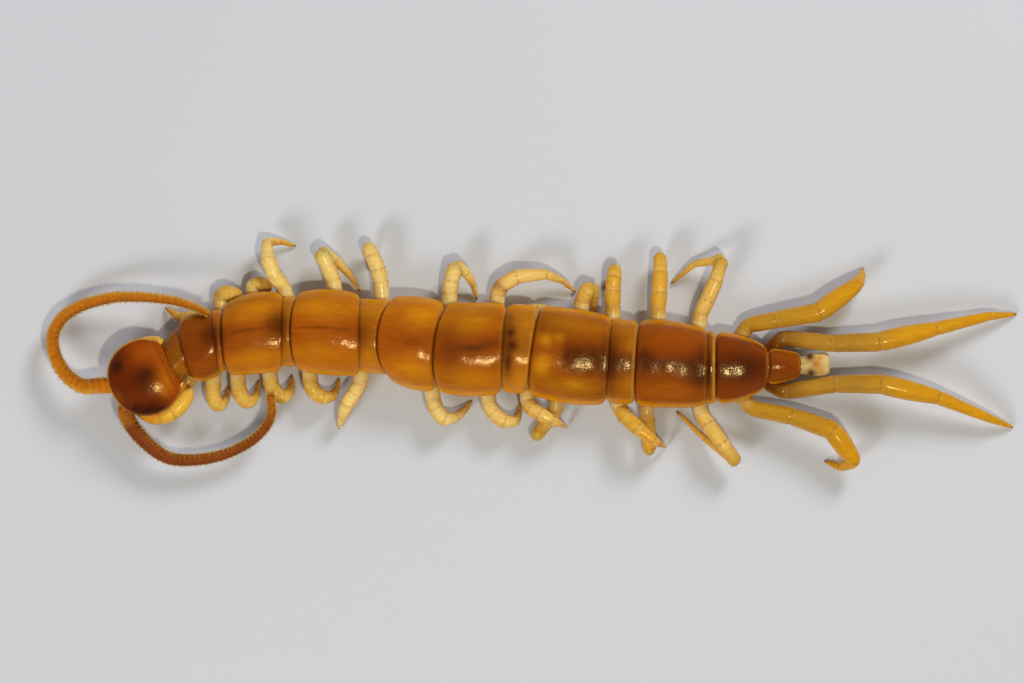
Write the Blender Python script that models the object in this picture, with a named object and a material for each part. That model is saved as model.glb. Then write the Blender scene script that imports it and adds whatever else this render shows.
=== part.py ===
# Stone centipede at life size, resting on a flat surface with its legs folded as in a museum still.
# X runs along the body from head to tail, Y to the animal's right and Z up, from the surface it rests on.
# Lengths are in millimetres while the shapes are made, and each finished mesh is scaled to metres.
import math

import bmesh
import bpy
from mathutils import Matrix, Vector

MM = 0.001
GAP = 0.25

# Body line and plates
TERGITE_OVERHANG = 0.23
EDGE_HEIGHT = 0.92
WALL_FOOT_HEIGHT = 0.20
BELLY_CHAMFER = 0.16
PLATE_BULGE = 0.10
PLATE_STEP = 0.07
PLATE_CORNER = 0.07
DOME_POWER = 2.3
DOME_SHARES = (0.0, 0.32, 0.6, 0.8, 0.93, 1.0)
LONG_PLATE_RINGS = (0.0, 0.07, 0.32, 0.62, 0.9, 1.0)
SHORT_PLATE_RINGS = (0.0, 0.5, 1.0)
SHORT_PLATE = 0.6

# station along X, Y of the midline, height of the back, height of the belly
BODY_LINE = (
    (-10.75, -0.20, 1.42, 0.10),
    (-10.45, 0.10, 1.48, 0.00),
    (-10.05, 0.21, 1.50, 0.00),
    (-9.30, 0.45, 1.54, 0.00),
    (-8.50, 0.63, 1.60, 0.00),
    (-7.30, 0.70, 1.64, 0.00),
    (-6.20, 0.69, 1.70, 0.00),
    (-4.90, 0.57, 1.70, 0.00),
    (-3.80, 0.37, 1.74, 0.00),
    (-2.00, 0.165, 1.75, 0.00),
    (-0.50, 0.19, 1.72, 0.00),
    (1.25, -0.05, 1.74, 0.00),
    (2.50, -0.18, 1.70, 0.00),
    (4.00, -0.27, 1.66, 0.00),
    (5.15, -0.36, 1.58, 0.00),
    (6.30, -0.39, 1.46, 0.00),
    (7.50, -0.33, 1.24, 0.10),
    (8.90, -0.27, 0.98, 0.30),
)
# tergite, front and rear station, half width at its front, middle and rear
PLATES = (
    (1, -10.47, -9.44, 0.92, 1.01, 0.98),
    (2, -9.44, -9.22, 0.94, 0.95, 0.97),
    (3, -9.22, -7.46, 1.06, 1.22, 1.17),
    (4, -7.46, -7.26, 1.07, 1.06, 1.07),
    (5, -7.26, -5.15, 1.15, 1.29, 1.22),
    (6, -5.15, -4.66, 1.12, 1.13, 1.15),
    (7, -4.66, -2.95, 1.22, 1.39, 1.34),
    (8, -2.95, -0.93, 1.33, 1.41, 1.36),
    (9, -0.93, -0.12, 1.31, 1.34, 1.30),
    (10, -0.12, 2.10, 1.32, 1.42, 1.33),
    (11, 2.10, 2.99, 1.26, 1.27, 1.24),
    (12, 2.99, 5.15, 1.29, 1.30, 1.15),
    (13, 5.15, 5.42, 1.10, 1.09, 1.07),
    (14, 5.42, 7.06, 1.08, 0.97, 0.60),
    (15, 7.06, 8.02, 0.58, 0.48, 0.36),
)
# the tergites that each length of the trunk carries
TRUNK_LENGTHS = ((1, 2), (3, 4), (5, 6), (7,), (8, 9), (10, 11), (12, 13), (14,), (15,))
# station, slant in degrees, half width and how far the back dips
COLLAR_RINGS = (
    (-10.76, 22.0, 0.72, 0.12),
    (-10.69, 19.0, 0.76, 0.04),
    (-10.58, 12.0, 0.80, 0.12),
)
FIRST_PLATE_SLANT = 8.0
TERMINAL_FRONT = 8.24
TERMINAL_REAR = 8.90
TERMINAL_HALF_WIDTH = 0.36
TERMINAL_TOP = 0.98
TERMINAL_BELLY = 0.36

# Head, in its own axes: A forward, B to the animal's left
HEAD_CENTRE = (-11.616, -0.648)
HEAD_HEADING = 206.6
HEAD_HALF_WIDTH = 1.155
HEAD_FRONT = 1.13
HEAD_REAR = 1.02
HEAD_REAR_CUT = 0.795
HEAD_POWER = 2.15
HEAD_RIM_HEIGHT = 1.28
HEAD_RIM_THICKNESS = 0.09
HEAD_DOME = 0.40
HEAD_HOLLOW = 0.10
HEAD_LONGITUDES = 30
HEAD_TOP_SHARES = (0.30, 0.55, 0.76, 0.91, 1.0)
HEAD_UNDER_SHARES = (0.96, 0.62, 0.3)
OCELLI_PLACE = (0.66, 0.74)
OCELLUS_RADIUS = 0.055
SOCKET_LENGTH = (0.78, 1.10)
SOCKET_ASIDE = 0.29
SOCKET_HEIGHT = 1.06
SOCKET_WIDTH = 0.40
OCELLI_ROWS = ((0.0, 0.0), (0.10, 0.0), (-0.10, 0.02), (0.05, 0.09), (-0.05, 0.10), (0.0, -0.10))

# Poison claws and the plate that bears them, below the head
CLAW_PLATE_THICKNESS = 0.42
CLAW_PLATE_MIDDLE_HEIGHT = 0.74
CLAW_PLATE_SHIFT = 0.30
# distance forward, half width
CLAW_PLATE_OUTLINE = ((-0.82, 0.50), (-0.66, 0.60), (-0.30, 0.62), (0.06, 0.48), (0.30, 0.32))
CLAW_TEETH = ((0.34, 0.10), (0.34, -0.10), (0.31, 0.23), (0.31, -0.23))
TOOTH_RADIUS = 0.07
TOOTH_LENGTH = 0.14
# distance forward, distance out from the middle of the plate, height, width
CLAW_PATHS = {
    "left": (
        (-0.84, 0.77, 0.80, 0.46),
        (-0.58, 0.89, 0.79, 0.54),
        (-0.23, 0.99, 0.78, 0.54),
        (0.08, 0.97, 0.77, 0.52),
        (0.35, 0.86, 0.76, 0.48),
        (0.60, 0.60, 0.72, 0.34),
        (0.72, 0.30, 0.66, 0.14),
    ),
    "right": (
        (-0.84, 1.06, 0.80, 0.46),
        (-0.50, 1.14, 0.79, 0.54),
        (-0.12, 1.16, 0.78, 0.54),
        (0.24, 1.05, 0.76, 0.50),
        (0.50, 0.80, 0.74, 0.44),
        (0.68, 0.50, 0.70, 0.30),
        (0.76, 0.20, 0.64, 0.12),
    ),
}
CLAW_SIDES = 8

# Antennae
ANTENNA_SIDES = 8
ANTENNA_ARTICLES = 45
ANTENNA_WIDTHS = ((0.0, 0.50), (0.10, 0.54), (0.30, 0.50), (0.72, 0.50), (0.88, 0.36), (1.0, 0.14))
ANTENNA_LENGTHS = (0.0, 0.34, 0.68, 1.0)
ANTENNA_GROOVE = 0.07
CURVE_STEPS = 12
# start X, Y, Z, then moves of length, heading in degrees and height reached
ANTENNAE = (
    (
        "right",
        (-12.96, -0.92, 1.06),
        (
            (0.14, 181, 1.02), (0.42, 182, 0.90), (0.49, 149, 0.81), (0.49, 128, 0.74), (0.50, 111, 0.70),
            (0.48, 90, 0.68), (0.50, 61, 0.68), (0.52, 36, 0.70), (0.58, 21, 0.74), (0.70, 11, 0.80),
            (0.78, 0, 0.86), (0.81, 354, 0.95), (0.65, 346, 1.10), (0.65, 338, 1.34),
        ),
    ),
    (
        "left",
        (-12.27, -1.66, 0.90),
        (
            (0.30, 293, 0.86), (0.42, 300, 0.80), (0.49, 313, 0.74), (0.53, 322, 0.68), (0.45, 340, 0.64),
            (0.75, 0, 0.62), (0.74, 12, 0.62), (0.66, 24, 0.66), (0.47, 35, 0.74), (0.45, 48, 0.84),
            (0.42, 69, 0.96), (0.56, 94, 1.10),
        ),
    ),
)

# Legs
LEG_SIDES = 7
BAR_SIDES = 12
LEG_VOXEL = 0.10
LEG_FACES_KEPT = 0.36
DOME_RINGS = ((0.80, 0.60), (0.45, 0.89), (0.0, 1.0))
LEG_ROOT_HEIGHT = 0.47
LEG_ROOT_WIDTH = 0.50
LEG_RING_SHARES = (0.16, 0.84)
LEG_NECK = 0.86
# widths of coxa, prefemur, femur, tibia, first tarsus and second tarsus, then of the claw
LEG_WIDTHS = (0.52, 0.54, 0.52, 0.50, 0.44, 0.36, 0.24)
HIND_LEG_WIDTHS = (0.52, 0.52, 0.54, 0.58, 0.50, 0.34, 0.12)
HIND_LEGS = (14, 15)
# legs that lie hidden under the plates: from and to which station the side wall is set in, and how far
TUCKED_LEGS = {
    ("left", 1): (-10.9, -9.8, 0.32),
    ("right", 1): (-10.9, -9.6, 0.32),
    ("right", 9): (-0.6, 0.75, 0.50),
}
TUCK_FADE = 0.3
TUCKED_ROOT_HEIGHT = 0.36
# side, pair, station of the root, then for each joint its plan length, heading in degrees and height reached
LEGS = (
    (
        "left", 1, -10.15,
        (
            (0.29, 228, 0.27), (0.24, 228, 0.24), (0.24, 227, 0.24),
            (0.26, 225, 0.23), (0.26, 216, 0.18), (0.24, 209, 0.05),
        ),
    ),
    (
        "left", 2, -9.61,
        (
            (0.40, 266, 0.56), (0.25, 274, 0.60), (0.25, 307, 0.60),
            (0.18, 26, 0.50), (0.27, 73, 0.20), (0.27, 84, 0.05),
        ),
    ),
    (
        "left", 3, -8.9,
        (
            (0.31, 275, 0.56), (0.31, 282, 0.60), (0.28, 313, 0.60),
            (0.22, 19, 0.50), (0.31, 69, 0.25), (0.33, 85, 0.05),
        ),
    ),
    (
        "left", 4, -7.97,
        (
            (0.36, 284, 0.60), (0.31, 300, 0.62), (0.24, 338, 0.60),
            (0.24, 40, 0.50), (0.27, 81, 0.25), (0.27, 90, 0.05),
        ),
    ),
    (
        "left", 5, -6.74,
        (
            (0.30, 278, 0.60), (0.29, 291, 0.62), (0.30, 330, 0.62),
            (0.28, 6, 0.50), (0.28, 60, 0.25), (0.33, 80, 0.05),
        ),
    ),
    (
        "left", 6, -5.09,
        (
            (0.29, 239, 0.62), (0.33, 236, 0.70), (0.37, 238, 0.75),
            (0.37, 249, 0.55), (0.22, 254, 0.30), (0.19, 252, 0.05),
        ),
    ),
    (
        "left", 7, -3.08,
        (
            (0.21, 287, 0.60), (0.30, 287, 0.65), (0.37, 307, 0.65),
            (0.38, 9, 0.50), (0.40, 40, 0.25), (0.31, 55, 0.05),
        ),
    ),
    (
        "left", 8, -1.4,
        (
            (0.22, 285, 0.60), (0.31, 297, 0.65), (0.39, 320, 0.65),
            (0.36, 360, 0.50), (0.31, 67, 0.22), (0.31, 85, 0.05),
        ),
    ),
    (
        "left", 9, -0.2,
        (
            (0.23, 277, 0.62), (0.26, 305, 0.78), (0.28, 328, 0.92),
            (0.37, 334, 0.94), (0.29, 332, 0.68), (0.24, 338, 0.05),
        ),
    ),
    (
        "left", 10, 0.7,
        (
            (0.28, 257, 0.40), (0.27, 232, 0.27), (0.35, 234, 0.36),
            (0.37, 235, 0.52), (0.30, 53, 0.15), (0.28, 54, 0.05),
        ),
    ),
    (
        "left", 11, 2.5,
        (
            (0.17, 301, 0.62), (0.32, 305, 0.80), (0.48, 318, 0.96),
            (0.56, 323, 0.95), (0.27, 327, 0.66), (0.22, 332, 0.05),
        ),
    ),
    (
        "left", 12, 3.38,
        (
            (0.21, 275, 0.43), (0.33, 275, 0.28), (0.40, 275, 0.27),
            (0.42, 274, 0.34), (0.16, 91, 0.10), (0.18, 90, 0.05),
        ),
    ),
    (
        "left", 13, 4.97,
        (
            (0.23, 295, 0.60), (0.35, 301, 0.75), (0.67, 307, 0.85),
            (0.74, 307, 0.65), (1.17, 143, 0.25), (1.21, 136, 0.05),
        ),
    ),
    (
        "left", 14, 6.14,
        (
            (0.40, 340, 0.60), (1.25, 349, 0.75), (1.29, 341, 0.85),
            (1.15, 306, 0.70), (0.46, 205, 0.30), (0.52, 158, 0.05),
        ),
    ),
    (
        "left", 15, 6.92,
        (
            (0.63, 8, 0.62), (1.50, 9, 0.75), (1.39, 0, 0.85),
            (1.76, 347, 0.75), (1.69, 338, 0.40), (0.82, 339, 0.05),
        ),
    ),
    (
        "right", 1, -9.98,
        (
            (0.20, 141, 0.33), (0.18, 171, 0.31), (0.18, 180, 0.30),
            (0.18, 166, 0.28), (0.26, 145, 0.22), (0.28, 150, 0.05),
        ),
    ),
    (
        "right", 2, -9.29,
        (
            (0.25, 120, 0.56), (0.15, 72, 0.62), (0.23, 12, 0.66),
            (0.29, 351, 0.56), (0.14, 198, 0.22), (0.16, 197, 0.05),
        ),
    ),
    (
        "right", 3, -8.33,
        (
            (0.18, 133, 0.52), (0.12, 59, 0.55), (0.20, 4, 0.55),
            (0.22, 337, 0.46), (0.16, 255, 0.20), (0.15, 216, 0.05),
        ),
    ),
    (
        "right", 4, -7.34,
        (
            (0.25, 140, 0.68), (0.45, 127, 0.95), (0.49, 111, 0.95),
            (0.51, 95, 0.60), (0.41, 2, 0.30), (0.49, 344, 0.05),
        ),
    ),
    (
        "right", 5, -5.93,
        (
            (0.32, 109, 0.60), (0.42, 111, 0.75), (0.45, 117, 0.80),
            (0.48, 333, 0.60), (0.66, 313, 0.30), (0.56, 301, 0.05),
        ),
    ),
    (
        "right", 6, -4.54,
        (
            (0.44, 97, 0.60), (0.40, 103, 0.72), (0.41, 114, 0.78),
            (0.34, 116, 0.62), (0.34, 290, 0.20), (0.39, 293, 0.05),
        ),
    ),
    (
        "right", 7, -2.56,
        (
            (0.27, 83, 0.62), (0.39, 81, 0.75), (0.44, 72, 0.80),
            (0.36, 327, 0.60), (0.43, 301, 0.30), (0.49, 282, 0.05),
        ),
    ),
    (
        "right", 8, -1.14,
        (
            (0.24, 77, 0.60), (0.30, 63, 0.70), (0.52, 30, 0.80),
            (0.87, 4, 0.70), (0.55, 339, 0.35), (0.54, 318, 0.05),
        ),
    ),
    (
        "right", 9, -0.35,
        (
            (0.33, 51, 0.33), (0.24, 5, 0.30), (0.24, 356, 0.28),
            (0.22, 344, 0.24), (0.20, 338, 0.18), (0.16, 333, 0.05),
        ),
    ),
    (
        "right", 10, 1.38,
        (
            (0.25, 74, 0.60), (0.33, 66, 0.70), (0.19, 36, 0.72),
            (0.25, 291, 0.56), (0.30, 267, 0.22), (0.31, 270, 0.05),
        ),
    ),
    (
        "right", 11, 2.39,
        (
            (0.35, 92, 0.60), (0.51, 90, 0.75), (0.36, 85, 0.80),
            (0.30, 84, 0.65), (0.34, 243, 0.20), (0.40, 244, 0.05),
        ),
    ),
    (
        "right", 12, 3.72,
        (
            (0.33, 86, 0.60), (0.51, 87, 0.75), (0.57, 87, 0.80),
            (0.51, 91, 0.65), (0.36, 272, 0.20), (0.45, 272, 0.05),
        ),
    ),
    (
        "right", 13, 4.89,
        (
            (0.36, 69, 0.60), (0.47, 64, 0.75), (0.62, 67, 0.85),
            (0.66, 73, 0.75), (0.84, 190, 0.40), (0.92, 220, 0.05),
        ),
    ),
    (
        "right", 14, 6.05,
        (
            (0.43, 28, 0.60), (0.86, 11, 0.75), (1.31, 10, 0.85),
            (1.41, 36, 0.70), (0.32, 60, 0.30), (0.25, 76, 0.05),
        ),
    ),
    (
        "right", 15, 6.93,
        (
            (0.58, 6, 0.62), (1.44, 353, 0.75), (1.42, 2, 0.85),
            (1.76, 13, 0.75), (1.68, 13, 0.40), (0.87, 4, 0.05),
        ),
    ),
)

COLOURS = {
    "head_shield": ((0.30, 0.06, 0.012, 1.0), 0.30),
    "tergite": ((0.42, 0.14, 0.018, 1.0), 0.30),
    "poison_claw": ((0.62, 0.33, 0.05, 1.0), 0.35),
    "antenna": ((0.46, 0.16, 0.03, 1.0), 0.50),
    "leg": ((0.66, 0.40, 0.10, 1.0), 0.40),
    "hind_leg": ((0.60, 0.27, 0.03, 1.0), 0.35),
    "terminal": ((0.55, 0.42, 0.26, 1.0), 0.45),
}


def clear_scene():
    for thing in list(bpy.data.objects):
        bpy.data.objects.remove(thing, do_unlink=True)


def coloured(obj, slot):
    colour, roughness = COLOURS[slot]
    material = bpy.data.materials.new(obj.name + "_" + slot)
    material.use_nodes = True
    surface = material.node_tree.nodes["Principled BSDF"]
    surface.inputs["Base Color"].default_value = colour
    surface.inputs["Roughness"].default_value = roughness
    surface.inputs["Metallic"].default_value = 0.0
    obj.data.materials.clear()
    obj.data.materials.append(material)


def made(name, shape):
    """Puts a bmesh in the scene as an object, still in millimetres."""
    bmesh.ops.recalc_face_normals(shape, faces=shape.faces)
    mesh = bpy.data.meshes.new(name)
    shape.to_mesh(mesh)
    shape.free()
    obj = bpy.data.objects.new(name, mesh)
    bpy.context.scene.collection.objects.link(obj)
    return obj


def finished(obj, slot):
    obj.data.transform(Matrix.Scale(MM, 4))
    for face in obj.data.polygons:
        face.use_smooth = True
    coloured(obj, slot)
    return obj


def loft(rings, shape=None):
    """Joins rings of points one after the other and closes both ends with a fan."""
    shape = shape or bmesh.new()
    rows = [[shape.verts.new(point) for point in ring] for ring in rings]
    for first, second in zip(rows, rows[1:]):
        for i in range(len(first)):
            j = (i + 1) % len(first)
            shape.faces.new((first[i], first[j], second[j], second[i]))
    for row in (rows[0], rows[-1]):
        middle = sum((vertex.co for vertex in row), Vector()) / len(row)
        tip = shape.verts.new(middle)
        for i in range(len(row)):
            shape.faces.new((row[i], row[(i + 1) % len(row)], tip))
    return shape


def union(name, pieces):
    """Makes one closed body of pieces that overlap, and removes what went into it."""
    base, others = pieces[0], pieces[1:]
    if not others:
        base.name = name
        return base
    helpers = bpy.data.collections.new(name + "_pieces")
    bpy.context.scene.collection.children.link(helpers)
    for piece in others:
        bpy.context.scene.collection.objects.unlink(piece)
        helpers.objects.link(piece)
    joined = base.modifiers.new("union", "BOOLEAN")
    joined.operation = "UNION"
    joined.operand_type = "COLLECTION"
    joined.collection = helpers
    joined.solver = "MANIFOLD"
    bpy.context.view_layer.update()
    graph = bpy.context.evaluated_depsgraph_get()
    mesh = bpy.data.meshes.new_from_object(base.evaluated_get(graph))
    for piece in pieces:
        bpy.data.objects.remove(piece, do_unlink=True)
    bpy.data.collections.remove(helpers)
    obj = bpy.data.objects.new(name, mesh)
    bpy.context.scene.collection.objects.link(obj)
    keep_largest_surface(obj)
    return obj


def keep_largest_surface(obj):
    shape = bmesh.new()
    shape.from_mesh(obj.data)
    bmesh.ops.remove_doubles(shape, verts=shape.verts, dist=0.0005)
    left = set(shape.verts)
    groups = []
    while left:
        group = set()
        edge = [left.pop()]
        while edge:
            vertex = edge.pop()
            group.add(vertex)
            for link in vertex.link_edges:
                other = link.other_vert(vertex)
                if other in left:
                    left.discard(other)
                    edge.append(other)
        groups.append(group)
    largest = max(groups, key=len)
    bmesh.ops.delete(shape, geom=[v for v in shape.verts if v not in largest], context="VERTS")
    shape.to_mesh(obj.data)
    shape.free()


def between(knots, place, column):
    """Value of a column of a table at a place between its rows."""
    if place <= knots[0][0]:
        return knots[0][column]
    for low, high in zip(knots, knots[1:]):
        if place <= high[0]:
            share = (place - low[0]) / (high[0] - low[0])
            return low[column] + share * (high[column] - low[column])
    return knots[-1][column]


def half_width(station):
    """Half the width of the back plate at a station, by the quadratic through its three widths."""
    for _, front, rear, first, middle, last in PLATES:
        if station <= rear or rear == PLATES[-1][2]:
            share = min(max((station - front) / (rear - front), 0.0), 1.0)
            ends = (1 - share) * (1 - 2 * share) * first + share * (2 * share - 1) * last
            return ends + 4 * share * (1 - share) * middle


def wall_inset(station, side):
    """How far the side wall lies inside the edge of the back plate."""
    deepest = 0.0
    for (tucked_side, _), (front, rear, depth) in TUCKED_LEGS.items():
        beyond = max(front - station, station - rear, 0.0) / TUCK_FADE
        if tucked_side == side and beyond < 1.0:
            deepest = max(deepest, depth * (1.0 - beyond))
    return TERGITE_OVERHANG + deepest


def body_ring(station, half, top, edge, belly, slant=0.0, bulge=PLATE_BULGE):
    """Cross-section: a domed back, an overhanging edge, upright side walls and a flat belly."""
    middle = between(BODY_LINE, station, 1)
    sides = {}
    for side, sign in (("right", 1), ("left", -1)):
        wall = half - wall_inset(station, side) * min(1.0, half)
        foot = belly + WALL_FOOT_HEIGHT
        shape = [(half * f, edge + (top - edge) * (1 - f**DOME_POWER) ** 0.75) for f in DOME_SHARES]
        shape.append((half - 0.05, edge - 0.07))
        shape.append((wall, edge - 0.11))
        shape.append((wall, foot))
        shape.append((wall - BELLY_CHAMFER, belly))
        shape.append(((wall - BELLY_CHAMFER) * 0.45, belly))
        sides[side] = [(sign * across, height) for across, height in shape]
    outline = sides["right"] + sides["left"][:0:-1]
    ring = []
    for across, height in outline:
        forward = bulge * (1 - min(1.0, abs(across) / half) ** 2)
        ring.append((station - forward - math.tan(math.radians(slant)) * across, middle + across, height))
    return ring


def plate_rings(number, first_station, last_station):
    """Rings of one back plate: a low tucked front, rounded corners and a slightly raised rear edge."""
    _, front, rear, _, _, _ = PLATES[number - 1]
    shares = LONG_PLATE_RINGS if rear - front > SHORT_PLATE else SHORT_PLATE_RINGS
    start, end = max(front, first_station), min(rear, last_station)
    rings = []
    for share in shares:
        station = start + (end - start) * share
        half, top = half_width(station), between(BODY_LINE, station, 2)
        if share == 0.0:
            half, top = half - PLATE_CORNER, top - PLATE_STEP
            station += 0.02
        if share == 1.0:
            half, top = half - PLATE_CORNER * 0.6, top - PLATE_STEP * 0.2
            station -= 0.02
        belly = between(BODY_LINE, station, 3)
        edge = min(EDGE_HEIGHT, 0.64 * top)
        slant = FIRST_PLATE_SLANT * max(0.0, 1.0 - 2.0 * share) if number == 1 else 0.0
        rings.append(body_ring(station, half, top, edge, belly, slant))
    return rings


def collar_rings():
    """The narrow plate behind the head, slanted like the rear margin of the head shield."""
    rings = []
    for station, slant, half, dip in COLLAR_RINGS:
        top, belly = between(BODY_LINE, station, 2) - dip, between(BODY_LINE, station, 3)
        rings.append(body_ring(station, half, top, EDGE_HEIGHT - 0.06, belly, slant, 0.0))
    return rings


def trunk_length(numbers):
    first, last = PLATES[numbers[0] - 1], PLATES[numbers[-1] - 1]
    start = first[1] + (GAP / 2 if numbers[0] > 1 else 0.0)
    end = last[2] - GAP / 2
    rings = collar_rings() if numbers[0] == 1 else []
    for number in numbers:
        rings += plate_rings(number, start, end)
    name = "trunk_" + "_".join(f"{number:02d}" for number in numbers)
    return finished(made(name, loft(rings)), "tergite")


def terminal_segment():
    rings = []
    for share, widen in ((0.0, 0.86), (0.2, 1.0), (0.7, 0.94), (1.0, 0.6)):
        station = TERMINAL_FRONT + (TERMINAL_REAR - TERMINAL_FRONT) * share
        top = TERMINAL_TOP - 0.12 * share
        half = TERMINAL_HALF_WIDTH * widen
        rings.append(body_ring(station, half, top, 0.66 * top, TERMINAL_BELLY * 0.7, 0.0, 0.0))
    return finished(made("terminal_segment", loft(rings)), "terminal")


def on_head(forward, left):
    """Plan position of a point given in the axes of the head."""
    angle = math.radians(HEAD_HEADING)
    ahead = Vector((math.cos(angle), math.sin(angle)))
    aside = Vector((-math.sin(angle), math.cos(angle)))
    place = Vector(HEAD_CENTRE) + ahead * forward + aside * left
    return place.x, place.y


def head_outline(longitude):
    """Superellipse, longer in front, with a straight rear margin."""
    c, s = math.cos(longitude), math.sin(longitude)
    depth = HEAD_FRONT if c > 0 else HEAD_REAR
    reach = (abs(c / depth) ** HEAD_POWER + abs(s / HEAD_HALF_WIDTH) ** HEAD_POWER) ** (-1 / HEAD_POWER)
    forward, left = reach * c, reach * s
    return max(forward, -HEAD_REAR_CUT), left


def head_shield():
    outline = [head_outline(2 * math.pi * (i + 0.5) / HEAD_LONGITUDES) for i in range(HEAD_LONGITUDES)]
    rings = []
    for share in HEAD_TOP_SHARES:
        height = HEAD_RIM_HEIGHT + HEAD_DOME * (1 - share**2.3) ** 0.7
        rings.append([(*on_head(a * share, b * share), height) for a, b in outline])
    for share in HEAD_UNDER_SHARES:
        height = HEAD_RIM_HEIGHT - HEAD_RIM_THICKNESS - HEAD_HOLLOW * (1 - share**2) ** 0.8
        rings.append([(*on_head(a * share, b * share), height) for a, b in outline])
    shape = loft(rings)
    top = HEAD_RIM_HEIGHT + HEAD_DOME
    for vertex in shape.verts:
        if len(vertex.link_edges) == HEAD_LONGITUDES and vertex.co.z > HEAD_RIM_HEIGHT:
            vertex.co.z = top
    pieces = [made("head", shape)]
    for sign in (1, -1):
        for ahead, out in OCELLI_ROWS:
            x, y = on_head(OCELLI_PLACE[0] + ahead, sign * (OCELLI_PLACE[1] + out))
            pieces.append(bead("ocellus", (x, y, HEAD_RIM_HEIGHT + 0.10), OCELLUS_RADIUS, 6))
    for sign in (1, -1):
        ends = [(*on_head(forward, sign * SOCKET_ASIDE), SOCKET_HEIGHT) for forward in SOCKET_LENGTH]
        pieces.append(made("socket", tube(ends, [SOCKET_WIDTH, SOCKET_WIDTH], 8)))
    return finished(union("head", pieces), "head_shield")


def bead(name, centre, radius, sides):
    rings = []
    for height in (-0.8, 0.35):
        width = radius * math.sqrt(1 - height**2)
        rings.append(
            [
                (
                    centre[0] + width * math.cos(2 * math.pi * i / sides),
                    centre[1] + width * math.sin(2 * math.pi * i / sides),
                    centre[2] + radius * height,
                )
                for i in range(sides)
            ]
        )
    shape = loft(rings)
    for vertex in shape.verts:
        if len(vertex.link_edges) == sides and vertex.co.z > centre[2]:
            vertex.co.z = centre[2] + radius
    return made(name, shape)


def claw_plate():
    rings = []
    for forward, half in CLAW_PLATE_OUTLINE:
        ring = []
        for turn in range(10):
            angle = 2 * math.pi * turn / 10
            across = half * math.copysign(abs(math.cos(angle)) ** 0.6, math.cos(angle))
            rise = 0.5 * CLAW_PLATE_THICKNESS * math.copysign(abs(math.sin(angle)) ** 0.7, math.sin(angle))
            ring.append((*on_head(forward, CLAW_PLATE_SHIFT + across), CLAW_PLATE_MIDDLE_HEIGHT + rise))
        rings.append(ring)
    pieces = [made("plate", loft(rings))]
    for forward, across in CLAW_TEETH:
        start = (*on_head(forward - 0.1, CLAW_PLATE_SHIFT + across), CLAW_PLATE_MIDDLE_HEIGHT)
        end = (*on_head(forward + TOOTH_LENGTH, CLAW_PLATE_SHIFT + across), CLAW_PLATE_MIDDLE_HEIGHT)
        pieces.append(made("tooth", tube([start, end], [2 * TOOTH_RADIUS, 0.04], 5)))
    return finished(union("poison_claw_plate", pieces), "poison_claw")


def poison_claw(side, sign):
    path = CLAW_PATHS[side]
    points = [(*on_head(a, CLAW_PLATE_SHIFT + sign * b), z) for a, b, z, _ in path]
    widths = [width for _, _, _, width in path]
    return finished(made("poison_claw_" + side, tube(points, widths, CLAW_SIDES)), "poison_claw")


def tube(points, widths, sides):
    """Round tube through points, each ring on the plane that halves the turn, none below the floor."""
    points = [Vector(point) for point in points]
    steps = [(b - a).normalized() for a, b in zip(points, points[1:])]
    across = steps[0].cross(Vector((0, 0, 1))).normalized()
    rings = []
    for i, (point, width) in enumerate(zip(points, widths)):
        before, after = steps[max(i - 1, 0)], steps[min(i, len(steps) - 1)]
        along = (before + after).normalized()
        across = (across - along * across.dot(along)).normalized()
        up = along.cross(across)
        ring = []
        for turn in range(sides):
            angle = 2 * math.pi * turn / sides
            place = point + (across * math.cos(angle) + up * math.sin(angle)) * width / 2
            ring.append((place.x, place.y, max(place.z, 0.0)))
        rings.append(ring)
    return loft(rings)


def walk(start, moves):
    """Points reached by moves of plan length, heading and height."""
    points = [Vector(start)]
    for length, heading, height in moves:
        angle = math.radians(heading)
        last = points[-1]
        points.append(Vector((last.x + length * math.cos(angle), last.y + length * math.sin(angle), height)))
    return points


def smooth_path(points, count):
    """Even points along the Catmull-Rom curve through the given ones."""
    knots = [points[0] * 2 - points[1], *points, points[-1] * 2 - points[-2]]
    curve = []
    for a, b, c, d in zip(knots, knots[1:], knots[2:], knots[3:]):
        square, cube = 2 * a - 5 * b + 4 * c - d, 3 * b - a - 3 * c + d
        for step in range(CURVE_STEPS):
            t = step / CURVE_STEPS
            curve.append(0.5 * (2 * b + (c - a) * t + square * t**2 + cube * t**3))
    curve.append(points[-1])
    lengths = [0.0]
    for a, b in zip(curve, curve[1:]):
        lengths.append(lengths[-1] + (b - a).length)
    spread = []
    for i in range(count):
        goal = lengths[-1] * i / (count - 1)
        place = max(j for j, length in enumerate(lengths[:-1]) if length <= goal + 1e-9)
        share = (goal - lengths[place]) / (lengths[place + 1] - lengths[place])
        spread.append(curve[place].lerp(curve[place + 1], share))
    return spread, lengths[-1]


def antenna(side, start, moves):
    """Many short articles, parted into lengths along the whip."""
    fine = ANTENNA_ARTICLES * 20 + 1
    path, total = smooth_path(walk(start, moves), fine)
    nodes = []
    for number, (low, high) in enumerate(zip(ANTENNA_LENGTHS, ANTENNA_LENGTHS[1:]), start=1):
        low_end = low + (GAP / 2 / total if low > 0 else 0.0)
        high_end = high - (GAP / 2 / total if high < 1 else 0.0)
        articles = round((high - low) * ANTENNA_ARTICLES)
        points, widths = [], []
        for ring in range(2 * articles + 1):
            share = low_end + (high_end - low_end) * ring / (2 * articles)
            points.append(path[round(share * (fine - 1))])
            groove = 1.0 - ANTENNA_GROOVE if ring % 2 == 0 else 1.0 + ANTENNA_GROOVE
            widths.append(between(ANTENNA_WIDTHS, share, 1) * groove)
        name = f"antenna_{side}_{number}"
        nodes.append(finished(made(name, tube(points, widths, ANTENNA_SIDES)), "antenna"))
    return nodes


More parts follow.
